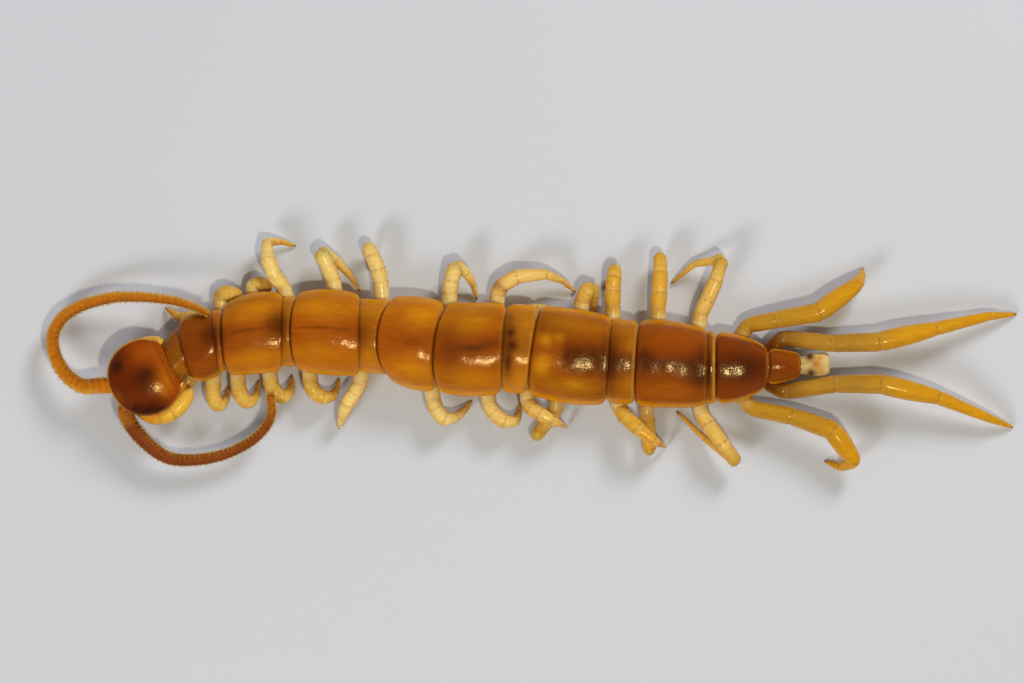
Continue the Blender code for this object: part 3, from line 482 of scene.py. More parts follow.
def trunkColours(number, station, half, u, height, edge, ahead, behind):
    # plate colour by tergite, then dark and amber marks, lighter sides, thin dark front edge (the margin's
    # own dark line with painted shade in its groove), painted shade on the steps under the rear edges, pale
    # membranes
    colour = trunk["colours"]
    plate = np.maximum(number, 0).astype(int)
    tone = np.array(trunk["tones"])[plate]
    full = np.ones_like(u)
    aside = smooth(0.15, 0.80, np.abs(u))
    paint = mixed(colour["medial"], colour["lateral"], aside)
    paint = mixed(paint, colour["red"], np.maximum(-tone[:, 2, None], 0.0) * full)
    paint = mixed(paint, colour["dark"], tone[:, 0, None] * (1 - aside) + tone[:, 1, None] * aside)
    paint = mixed(paint, colour["olive"], np.maximum(tone[:, 2, None], 0.0) * full)
    across = u * half[:, None]
    place = station[:, None]
    for markStation, markAcross, along, wide, share in trunk["marks"]:
        amount = bump(place, markStation, along) * bump(across, markAcross, wide) * abs(share)
        paint = mixed(paint, colour["dark"] if share > 0 else colour["amber"], amount)
    paint = mixed(paint, colour["amber"], 0.90 * smooth(0.84, 0.97, np.abs(u)))
    long = np.array([margin[1] - margin[0] > 0.9 for margin in trunk["margins"]])[plate][:, None]
    soft = np.where(plate >= 12, 0.35, 1.0)[:, None]
    plated = (number >= 0)[:, None]
    # dark line along each front margin: partly the margin's own dark edge, partly painted shade in the groove
    # behind the plate ahead
    groove = 0.80 * soft * bump(ahead[:, None], 0.015, 0.045) * (0.30 + 0.70 * long)
    paint = mixed(paint, colour["edge"], groove * plated)
    rim = np.array(trunk["rims"])[plate][:, None] * plated
    paint = mixed(paint, colour["pale"], rim * bump(behind[:, None], 0.03, 0.05) * full)
    # painted shade on the step down under each rear margin, lighter where the plate has a pale rim
    paint = mixed(paint, colour["edge"], 0.55 * (1 - rim) * (behind < 0.0)[:, None] * full)
    paint = mixed(paint, colour["membrane"], 0.5 * (behind < 0.0)[:, None] * smooth(0.70, 0.98, np.abs(u)))
    striae = 0.5 + 0.5 * collarWave(ahead)
    bright = (0.05 + 0.30 * striae)[:, None] * (1.0 + 0.9 * smooth(0.1, -0.8, u))
    ringed = mixed(colour["collar"], colour["collarRidge"], bright)
    paint = np.where((number < 0)[:, None, None], ringed, paint)
    paint = mixed(paint, colour["side"], smooth(0.03, 0.10, edge[:, None] - height))
    belly = mixed(colour["belly"], colour["lateral"], 0.45 * smooth(0.72, 0.66, np.abs(u)))
    border = 0.30 * bump(np.abs(u), 0.69, 0.02) + 0.35 * long * bump(ahead[:, None], 0.02, 0.05)
    belly = mixed(belly, colour["edge"], border)
    return mixed(paint, belly, smooth(0.45, 0.7, edge[:, None] - height))


def trunkSkin():
    # x = margin-to-margin station + lag |u|^2.4 - tan(slant) across, for u the share of the half width
    station, lift, narrowing, number, ahead, behind, t = plateRows().T
    inCollar = number < 0
    plate = np.maximum(number, 0).astype(int)
    margins = np.array(trunk["margins"])[plate]
    cadPlates = np.array(body["plates"])[plate]
    first, middle, last = cadPlates[:, 2:5].T
    half = throughThree(t, first, middle, last) - narrowing
    collar = trunk["collar"]
    narrow, wide = collar["half"]
    half = np.where(inCollar, narrow + (wide - narrow) * smooth(0, 0.8, t), half)
    ringed = -collar["sunk"] + collar["depth"] * collarWave(ahead)
    lift = np.where(inCollar, ringed - collar["slope"] * (1 - smooth(0.0, 0.25, t)), lift)
    lag = np.where(inCollar, 0.0, margins[:, 2] + (margins[:, 3] - margins[:, 2]) * t)
    slant = margins[:, 4] + (margins[:, 5] - margins[:, 4]) * t
    slant = np.where(inCollar, collar["slant"][0] + (collar["slant"][1] - collar["slant"][0]) * t, slant)
    where = station + 0.08
    top = atStation(where, 2) + lift
    belly = atStation(where, 3)
    edge = np.minimum(body["edgeHeight"], body["edgeShare"] * top)
    wall = half - body["overhang"] * np.minimum(1.0, half)
    across, height = bothSides(*bodySection(half, top, edge, wall, belly, trunk["columns"]))
    u = np.clip(across / half[:, None], -1, 1)
    x = station[:, None] + lag[:, None] * np.abs(u) ** trunk["lagPower"]
    x = x - np.tan(np.radians(slant))[:, None] * across
    shallow = sum(
        depth * np.sin(turns * station + phase)[:, None] * np.cos(wide * across + 0.7 * phase)
        for depth, turns, wide, phase in trunk["waves"]
    )
    lean = trunk["lean"][0] + trunk["lean"][1] * smooth(-0.5, 3.0, station)[:, None]
    height = np.where(height > edge[:, None], height + (shallow + lean * across) * (1 - u**2), height)
    points = np.stack([x, atStation(where, 1)[:, None] + across, np.maximum(height, 0.0)], -1)
    return closedGrid(points, trunkColours(number, station, half, u, height, edge, ahead, behind))


meshPiece("trunkSkin", [trunkSkin()], platesMaterial, (
    "trunk_01_02", "trunk_03_04", "trunk_05_06", "trunk_07", "trunk_08_09",
    "trunk_10_11", "trunk_12_13", "trunk_14", "trunk_15",
))


# tail: membrane, the last plates and the two small gonopods under them
tail = {
    # station, half width, height of the top, height of the underside
    "rings": (
        (7.90, 0.26, 0.98, 0.42), (8.06, 0.27, 0.98, 0.40), (8.16, 0.29, 0.94, 0.34),
        (8.24, 0.31, 0.97, 0.27),
        (8.32, 0.34, 1.00, 0.25), (8.44, 0.36, 0.98, 0.24), (8.52, 0.35, 0.93, 0.25),
        (8.60, 0.35, 0.95, 0.26),
        (8.74, 0.34, 0.92, 0.28), (8.84, 0.31, 0.86, 0.32), (8.89, 0.24, 0.76, 0.44),
    ),
    "pale": tint(226, 198, 132), "brown": tint(84, 42, 12), "orange": tint(204, 134, 40),
    # station, across, reach along, reach across, share of brown (below zero: orange)
    "marks": (
        (8.28, 0.25, 0.17, 0.17, 1.0), (8.32, -0.25, 0.16, 0.17, 1.0), (8.04, 0.0, 0.10, 0.6, 0.35),
        (8.50, 0.03, 0.14, 0.16, -0.95), (8.58, 0.20, 0.10, 0.10, -0.6), (8.62, -0.18, 0.10, 0.12, -0.7),
        (8.40, 0.0, 0.06, 0.12, 0.4),
    ),
    "rows": 80, "columns": 56, "power": 2.4,
    "gonopod": {"middle": -0.28, "aside": 0.15, "from": 8.35, "to": 8.84, "height": 0.30, "width": 0.20,
        "rows": 16},
}


def tailSegments():
    # superelliptic rings ((across/half)^2.4 + (rise/half height)^2.4 = 1) along the tail
    table = np.array(tail["rings"])
    station = np.linspace(table[0, 0], table[-1, 0], tail["rows"])
    half, top, under = (np.interp(station, table[:, 0], table[:, i]) for i in (1, 2, 3))
    turn = np.linspace(0, 2 * np.pi, tail["columns"], endpoint=False)
    c, s, power = np.cos(turn), np.sin(turn), tail["power"]
    reach = (np.abs(c) ** power + np.abs(s) ** power) ** (-1 / power)
    x = station[:, None] * np.ones_like(turn)
    across = half[:, None] * reach * c
    z = ((top + under) / 2)[:, None] + ((top - under) / 2)[:, None] * reach * s
    paint = np.broadcast_to(tail["pale"], x.shape + (3,)).copy()
    for markStation, markAcross, along, wide, share in tail["marks"]:
        amount = bump(x, markStation, along) * bump(across, markAcross, wide) * abs(share)
        paint = mixed(paint, tail["brown"] if share > 0 else tail["orange"], amount * smooth(-0.3, 0.3, s))
    points = np.stack([x, atStation(station, 1)[:, None] + across, z], -1)
    parts = [closedGrid(points, paint)]
    shape = tail["gonopod"]
    colour = mixed(tail["pale"], tail["brown"], 0.35)
    for sign in (1, -1):
        path = np.linspace(
            [shape["from"], shape["middle"] + sign * shape["aside"], shape["height"]],
            [shape["to"], shape["middle"] + sign * shape["aside"] * 0.8, shape["height"] + 0.08],
            shape["rows"],
        )
        oval = 1 - np.linspace(-0.95, 0.97, shape["rows"]) ** 2
        points, _ = carried(path, shape["width"] / 2 * np.sqrt(np.clip(oval, 0.02, 1)), 16)
        parts.append(closedGrid(points, np.broadcast_to(colour, points.shape)))
    return parts


meshPiece("tailSegments", tailSegments(), platesMaterial, ("terminal_segment",))


# head: domed shield with a raised rear margin, in its own axes (forward, left)
head = {
    "centre": (-11.616, -0.648), "heading": 206.6, "halfWidth": 1.155, "front": 1.13, "rear": 1.02,
    "rearCut": 0.795, "power": 2.15, "rimHeight": 1.28, "dome": 0.40, "rimThickness": 0.09, "hollow": 0.10,
    "columns": 144, "rows": 60,
    "colours": {
        "shield": tint(152, 64, 4), "front": tint(112, 38, 3), "dark": tint(44, 12, 3),
        "rim": tint(224, 152, 24),
        "rear": tint(166, 80, 8), "under": tint(210, 164, 84), "eye": tint(44, 16, 6),
    },
    # forward, left, reach forward, reach left, share of dark (below zero: rim colour)
    "marks": (
        (-0.06, -0.04, 0.36, 0.32, 0.80), (0.16, 0.12, 0.45, 0.50, 0.30), (0.64, -0.60, 0.22, 0.20, 0.80),
        (0.98, 0.16, 0.14, 0.22, -0.15),
        (0.40, 0.92, 0.34, 0.17, 0.90), (0.70, 0.76, 0.16, 0.14, 0.70), (0.06, 1.06, 0.24, 0.10, 0.85),
        (0.05, 0.30, 0.20, 0.30, 0.25), (-0.10, 0.85, 0.35, 0.2, 0.35), (0.45, -0.85, 0.3, 0.15, 0.4),
        (0.85, 0.05, 0.15, 0.30, 0.30),
        (-0.22, -0.62, 0.26, 0.22, -0.08), (-0.57, 0.37, 0.20, 0.35, -0.28), (-0.60, -0.5, 0.2, 0.4, -0.10),
        (-0.30, 0.55, 0.12, 0.25, -0.30),
    ),
    "ocelli": (
        (-0.17, 0.03), (-0.08, 0.05), (0.0, 0.055), (0.08, 0.045), (-0.09, -0.03), (-0.01, -0.025),
        (0.07, -0.03),
        (-0.03, -0.10), (0.05, -0.10),
    ),
    "ocelliPlace": (0.62, 0.70), "ocellusRadius": 0.036,
    "socket": {"from": 0.70, "to": 1.08, "aside": 0.29, "height": 1.06, "width": 0.42,
        "pale": tint(226, 206, 160)},
    # pads of the mouth: forward, left, radius, share of the height
    "pads": (
        (0.62, 0.16, 0.20, 0.8), (0.62, -0.16, 0.20, 0.8), (0.30, 0.30, 0.30, 0.6), (0.30, -0.30, 0.30, 0.6),
        (0.0, 0.0, 0.42, 0.45), (-0.35, 0.0, 0.5, 0.45),
    ),
    "padHeight": 1.07,
}


def onHead(forward, left):
    # plan point of the head's own axes
    angle = math.radians(head["heading"])
    x = head["centre"][0] + math.cos(angle) * forward - math.sin(angle) * left
    y = head["centre"][1] + math.sin(angle) * forward + math.cos(angle) * left
    return x, y


def headOutline(longitude):
    # superellipse, longer in front, cut straight at the rear with an eased corner
    c, s = np.cos(longitude), np.sin(longitude)
    depth = np.where(c > 0, head["front"], head["rear"])
    power = head["power"]
    reach = (np.abs(c / depth) ** power + np.abs(s / head["halfWidth"]) ** power) ** (-1 / power)
    forward = reach * c
    cut = -head["rearCut"]
    eased = cut - 0.04 * np.tanh((cut - forward) / 0.10)
    return np.where(forward < cut, eased, forward), reach * s


def shieldHeight(share, forward, left):
    # dome rim + dome(1 - share^2.3)^0.7, raised rear rim, transverse furrow in front, faint median dip
    height = head["rimHeight"] + head["dome"] * np.maximum(1 - share**2.3, 0.0) ** 0.7
    rearShare = smooth(0.1, -0.5, forward)
    height = height + 0.012 * bump(share, 0.970, 0.025) * (0.2 + 0.8 * rearShare)
    height = height - 0.008 * bump(share, 0.92, 0.03) * (0.1 + 0.9 * rearShare)
    furrow = forward - 0.40 - 0.10 * left**2
    height = height - 0.008 * bump(furrow, 0.0, 0.05) * (1 - smooth(0.7, 0.95, share))
    dip = 0.010 * bump(left, 0.0, 0.06) * smooth(0.35, 0.6, forward)
    height = height - dip * (1 - smooth(0.8, 1.0, share))
    return height + 0.008 * np.sin(4.3 * forward + 1.0) * np.cos(3.7 * left) * (1 - share)


def headPaint(share, forward, left):
    # redder behind, darker in front, soft marks, lighter rear border, amber rim except at the rear
    colour = head["colours"]
    paint = mixed(colour["shield"], colour["front"], smooth(-0.45, 0.45, forward + 0.15 * left))
    for markForward, markLeft, along, wide, amount in head["marks"]:
        spot = bump(forward, markForward, along) * bump(left, markLeft, wide) * abs(amount)
        paint = mixed(paint, colour["dark"] if amount > 0 else colour["rim"], spot)
    paint = mixed(paint, colour["rear"], 0.6 * smooth(-0.45, -0.68, forward))
    paint = mixed(paint, colour["dark"], 0.45 * bump(forward, -0.66, 0.018))
    paint = mixed(paint, colour["dark"], 0.15 * bump(share, 0.93, 0.03))
    rim = 0.85 * smooth(0.945, 0.985, share) * (0.20 + 0.80 * smooth(0.75, 0.0, left))
    return mixed(paint, colour["rim"], rim * smooth(-0.76, -0.62, forward))


def headShield():
    # rings from the crown out to the rim, then round it and through the hollow beneath back to the middle
    longitude = (np.arange(head["columns"]) + 0.5) * 2 * np.pi / head["columns"]
    forwardRim, leftRim = headOutline(longitude)
    upper = np.sin(np.linspace(0.02, np.pi / 2, head["rows"]))[:, None]
    forward, left = upper * forwardRim, upper * leftRim
    height = shieldHeight(upper * np.ones_like(forwardRim), forward, left)
    paint = headPaint(upper * np.ones_like(forwardRim), forward, left)
    lower = np.concatenate([1.006 * np.ones(3), np.linspace(0.99, 0.03, 22)])[:, None]
    drop = np.array([0.02, 0.05, 0.075] + [0.0] * 22)[:, None]
    hollow = head["hollow"] * (1 - np.minimum(lower, 1.0) ** 2) ** 0.8
    under = head["rimHeight"] - head["rimThickness"] - hollow
    under = np.where(drop > 0, head["rimHeight"] - drop, under)
    forward = np.concatenate([forward, lower * forwardRim])
    left = np.concatenate([left, lower * leftRim])
    height = np.concatenate([height, under * np.ones_like(forwardRim)])
    inwards = smooth(1.0, 0.9, lower * np.ones_like(forwardRim))
    paint = np.concatenate([paint, mixed(head["colours"]["shield"], head["colours"]["under"], inwards)])
    x, y = onHead(forward, left)
    return closedGrid(np.stack([x, y, height], -1), paint)


def ball(centre, radius, colour, stretch=(1.0, 1.0, 1.0), rows=10, columns=16):
    # sphere or egg from latitudes and longitudes
    latitude = np.linspace(-np.pi / 2 + 0.12, np.pi / 2 - 0.12, rows)[:, None]
    turn = np.linspace(0, 2 * np.pi, columns, endpoint=False)
    x = np.cos(latitude) * np.cos(turn) * stretch[0]
    y = np.cos(latitude) * np.sin(turn) * stretch[1]
    z = np.sin(latitude) * np.ones_like(turn) * stretch[2]
    points = np.array(centre) + radius * np.stack([x, y, z], -1)
    return closedGrid(points, np.broadcast_to(colour, points.shape))


def ocelli():
    # small balls in a group each side, sunk a little into the shield
    parts, radius = [], head["ocellusRadius"]
    for sign in (1, -1):
        for ahead, out in head["ocelli"]:
            forward, left = head["ocelliPlace"][0] + ahead, sign * (head["ocelliPlace"][1] + out)
            x, y = onHead(forward, left)
            rimForward, rimLeft = headOutline(math.atan2(left, forward))
            share = math.hypot(forward, left) / math.hypot(rimForward, rimLeft)
            height = float(shieldHeight(np.array(share), np.array(forward), np.array(left)))
            parts.append(ball((x, y, height - 0.55 * radius), radius, head["colours"]["eye"]))
    return parts


def mouthparts():
    # pads of the maxillae and the lip, each an egg, and the ring-shaped sockets of the antennae
    parts = []
    for forward, left, size, tall in head["pads"]:
        x, y = onHead(forward, left)
        middle = (x, y, head["padHeight"])
        parts.append(ball(middle, size, head["colours"]["under"], (1.0, 1.0, tall), 14, 24))
    socket = head["socket"]
    t = np.linspace(0, 1, 14)
    ends = np.sqrt(np.clip(1 - (2 * t - 1) ** 10, 0.05, 1))
    for aside in (socket["aside"], -socket["aside"]):
        start, end = onHead(socket["from"], aside), onHead(socket["to"], aside)
        path = np.linspace([*start, socket["height"]], [*end, socket["height"]], 14)
        points, _ = carried(path, socket["width"] / 2 * (0.86 + 0.14 * bump(t, 0.75, 0.2)) * ends, 24)
        parts.append(closedGrid(points, np.broadcast_to(socket["pale"], points.shape)))
    return parts


meshPiece("headShield", [headShield()], headMaterial, ("head",))
meshPiece("ocelli", ocelli(), eyeMaterial)
meshPiece("mouthparts", mouthparts(), clawMaterial)


# poison claws and the toothed plate between them
claws = {
    # forward, out from the middle of the plate, height, width
    "path": {
        1: (
            (-1.06, 0.62, 0.86, 0.30), (-0.86, 0.74, 0.82, 0.48), (-0.58, 0.885, 0.80, 0.54),
            (-0.23, 0.985, 0.79, 0.54), (0.08, 0.965, 0.78, 0.52),
            (0.35, 0.86, 0.76, 0.48), (0.60, 0.60, 0.72, 0.36), (0.72, 0.30, 0.66, 0.14),
        ),
        -1: (
            (-1.00, 0.92, 0.84, 0.34), (-0.80, 1.00, 0.81, 0.48), (-0.50, 1.12, 0.79, 0.54),
            (-0.12, 1.16, 0.78, 0.54), (0.24, 1.05, 0.76, 0.50),
            (0.50, 0.80, 0.74, 0.44), (0.68, 0.50, 0.70, 0.30), (0.76, 0.20, 0.64, 0.12),
        ),
    },
    "shift": 0.30, "rows": 90, "columns": 32,
    # share along the claw, depth, reach of each joint's waist
    "waists": ((0.42, 0.07, 0.02), (0.60, 0.07, 0.02), (0.70, 0.06, 0.015)),
    # forward, half width of the plate
    "plate": ((-0.95, 0.50), (-0.82, 0.62), (-0.30, 0.66), (0.06, 0.52), (0.30, 0.34), (0.36, 0.24)),
    "plateHeight": 0.74, "plateThickness": 0.42,
    "teeth": ((0.34, 0.10), (0.34, -0.10), (0.31, 0.23), (0.31, -0.23)),
    "pale": tint(232, 186, 74), "amber": tint(214, 144, 30), "tip": tint(58, 22, 6),
}


def poisonClaw(sign):
    # round profile along the curved claw: width * (1 - depth * bell) at each joint, dark pointed end
    path = []
    for forward, out, height, _ in claws["path"][sign]:
        x, y = onHead(forward, claws["shift"] + sign * out)
        path.append((x, y, height))
    count = claws["rows"]
    curve = curveThrough(path, count)
    t = np.linspace(0, 1, count)
    knots = np.linspace(0, 1, len(path))
    widths = np.interp(t, knots, [row[3] for row in claws["path"][sign]])
    waist = np.ones(count)
    for joint, depth, reach in claws["waists"]:
        waist = waist - depth * bump(t, joint, reach)
    ends = np.sqrt(np.clip(t / 0.10, 0.02, 1)) * np.clip((1 - t) / 0.02, 0.3, 1)
    points, _ = carried(curve, widths / 2 * waist * ends, claws["columns"])
    paint = mixed(claws["pale"], claws["amber"], np.clip(0.15 + 0.8 * smooth(0.4, 0.8, t), 0, 1))
    paint = mixed(paint, claws["tip"], smooth(0.84, 0.95, t))
    paint = mixed(paint, claws["tip"], 0.3 * (bump(t, 0.42, 0.012) + bump(t, 0.60, 0.012)))
    return closedGrid(points, np.repeat(paint[:, None, :], claws["columns"], 1))


def clawPlate():
    # flat rounded sections along the plate, with a groove below, and four teeth as cones with dark tips
    table = np.array(claws["plate"])
    forward = np.linspace(table[0, 0], table[-1, 0], 50)
    half = np.interp(forward, table[:, 0], table[:, 1])
    turn = np.linspace(0, 2 * np.pi, 48, endpoint=False)
    c, s = np.cos(turn), np.sin(turn)
    across = half[:, None] * np.sign(c) * np.abs(c) ** 0.6
    rise = claws["plateThickness"] / 2 * np.sign(s) * np.abs(s) ** 0.7
    groove = 0.02 * bump(across, 0.0, 0.03) * (s < 0)
    x, y = onHead(forward[:, None], claws["shift"] + across)
    points = np.stack([x, y, claws["plateHeight"] + rise[None, :] + groove], -1)
    parts = [closedGrid(points, np.broadcast_to(claws["amber"], points.shape))]
    t = np.linspace(0, 1, 12)
    darkening = mixed(claws["amber"], claws["tip"], smooth(0.4, 0.9, t))
    for tooth, out in claws["teeth"]:
        x, y = onHead(np.linspace(tooth - 0.1, tooth + 0.14, 12), claws["shift"] + out)
        path = np.stack([x, y, claws["plateHeight"] * np.ones(12)], 1)
        points, _ = carried(path, 0.07 * (1 - 0.85 * t**1.6), 14)
        parts.append(closedGrid(points, np.repeat(darkening[:, None, :], 14, 1)))
    return parts


meshPiece("poisonClawLeft", [poisonClaw(1)], clawMaterial, ("poison_claw_left",))
meshPiece("poisonClawRight", [poisonClaw(-1)], clawMaterial, ("poison_claw_right",))
meshPiece("poisonClawPlate", clawPlate(), clawMaterial, ("poison_claw_plate",))


# antennae: forty-five short articles each
antenna = {
    "articles": 45, "ringsPerArticle": 10, "columns": 24,
    # where each whip leaves the head, under the front of the shield
    "bases": {"right": ((-12.42, -0.88, 1.10), (-12.72, -0.91, 1.09)), "left": ((-12.00, -1.36, 1.04),
    (-12.14, -1.50, 0.98))},
    # share along the whip and width
    "widths": {
        "right": ((0.0, 0.42), (0.06, 0.47), (0.30, 0.38), (0.60, 0.33), (0.88, 0.24), (1.0, 0.16)),
        "left": ((0.0, 0.38), (0.12, 0.44), (0.40, 0.36), (0.75, 0.28), (1.0, 0.22)),
    },
    "colours": {
        "right": (tint(204, 116, 14), tint(196, 118, 22)), "left": (tint(126, 54, 20), tint(156, 78, 22)),
        "base": tint(196, 118, 26), "groove": tint(104, 42, 8), "fringe": tint(240, 196, 70),
    },
}
# start, then moves of plan length, heading in degrees and height reached
antennaPaths = {
    "right": ((-12.96, -0.92, 1.06), ((0.14, 181, 1.02), (0.42, 182, 0.90), (0.49, 149, 0.81),
        (0.49, 128, 0.74), (0.50, 111, 0.70), (0.48, 90, 0.68), (0.50, 61, 0.68), (0.52, 36, 0.70),
        (0.58, 21, 0.74), (0.70, 11, 0.80), (0.78, 0, 0.86), (0.81, 354, 0.95), (0.65, 346, 1.10),
        (0.65, 338, 1.34))),
    "left": ((-12.27, -1.66, 0.90), ((0.30, 293, 0.86), (0.42, 300, 0.80), (0.49, 313, 0.74),
        (0.53, 322, 0.68), (0.45, 340, 0.64), (0.75, 0, 0.62), (0.74, 12, 0.62), (0.66, 24, 0.66),
        (0.47, 35, 0.74), (0.45, 48, 0.84), (0.42, 69, 0.96), (0.56, 94, 1.10))),
}


def articleRadius(t, side):
    # width along the whip times one swelling per article: waist at each joint, fullest near its far end
    table = np.array(antenna["widths"][side])
    width = np.interp(t, table[:, 0], table[:, 1])
    phase = (t * antenna["articles"]) % 1.0
    swelling = np.clip(np.sin(np.pi * np.clip(phase, 0, 1)) ** 0.5, 0, 1)
    return width / 2 * (0.95 + 0.05 * swelling + 0.02 * phase)


def antennaWhip(side):
    # round profile along the whip's curve, dark at the joints of the articles, the right one lighter outside
    start, moves = antennaPaths[side]
    count = antenna["articles"] * antenna["ringsPerArticle"] + 1
    curve = curveThrough(np.vstack([antenna["bases"][side], walked(start, moves)]), count)
    t = np.linspace(0, 1, count)
    closing = np.sqrt(np.clip((1 - t) / 0.008, 0.05, 1)) * np.sqrt(np.clip(t / 0.004, 0.3, 1))
    points, _ = carried(curve, articleRadius(t, side) * closing, antenna["columns"])
    first, last = antenna["colours"][side]
    paint = mixed(first, last, t)
    ends = 0.3 * (1 - smooth(0.10, 0.18, t))
    if side == "left":
        ends = 1 - smooth(0.11, 0.15, t) + smooth(0.84, 0.96, t)
    paint = mixed(paint, antenna["colours"]["base"], 0.85 * ends)
    phase = (t * antenna["articles"]) % 1.0
    joint = np.maximum(bump(phase, 0.0, 0.13), bump(phase, 1.0, 0.13))
    paint = mixed(paint, antenna["colours"]["groove"], 0.30 * joint)
    paint = np.repeat(paint[:, None, :], antenna["columns"], 1)
    if side == "right":
        turn = np.linspace(0, 2 * np.pi, antenna["columns"], endpoint=False)
        outer = smooth(-0.1, 0.9, -np.cos(turn))[None, :] * smooth(0.02, 0.12, t)[:, None]
        inner = smooth(0.2, 0.95, np.cos(turn))[None, :] * np.ones((count, 1))
        paint = mixed(paint, antenna["colours"]["fringe"], 0.45 * outer)
        paint = mixed(paint, antenna["colours"]["groove"], 0.5 * inner)
    return closedGrid(points, paint), curve


antennaCurves = {}
for side in ("right", "left"):
    whip, antennaCurves[side] = antennaWhip(side)
    lengths = [f"antenna_{side}_{i}" for i in (1, 2, 3)]
    meshPiece("antenna" + side.capitalize(), [whip], antennaMaterial, lengths)


# legs: tapering tubes waisted at the joints, spurs at the joints, a dark claw at the tip
legs = {
    "rootHeight": 0.47, "rootGap": 0.25, "rootWidth": 0.50, "tuckedHeight": 0.36, "sunk": 0.42,
    "step": 0.022, "columns": 20, "clawLength": 0.10, "foldAngle": 98.0, "ease": (0.085, 0.13),
    "overlap": 0.22,
    "waist": 0.06, "waistReach": (0.03, 0.09),
    # widths at the hip, at the far ends of coxa, prefemur, femur, tibia and first tarsus, and at the tip
    "widths": (0.46, 0.48, 0.48, 0.46, 0.31, 0.20, 0.10),
    "hindWidths": (0.46, 0.48, 0.53, 0.60, 0.44, 0.28, 0.11),
    "hindSwelling": 0.15, "kneeSwelling": 0.10, "lastKneeSwelling": 0.26,
    "tucked": {("left", 1): (-10.9, -9.8, 0.32), ("right", 1): (-10.9, -9.6, 0.32),
    ("right", 9): (-0.6, 0.75, 0.50)},
    "straw": tint(236, 206, 126), "honey": tint(220, 170, 62), "amber": tint(208, 150, 24),
    "coxa": tint(104, 46, 8),
    "curled": tint(218, 176, 76), "femur": tint(170, 128, 44), "joint": tint(150, 82, 16),
    "soft": tint(246, 222, 160),
    "rim": tint(214, 150, 44), "claw": tint(166, 100, 30), "spur": tint(208, 148, 56),
    # a few joints are darker: side, pair, joint, share
    "stains": {("right", 8, 1): 0.6, ("right", 6, 3): 0.5, ("right", 12, 3): 0.7, ("left", 11, 4): 0.45,
        ("left", 11, 5): 0.35},
}
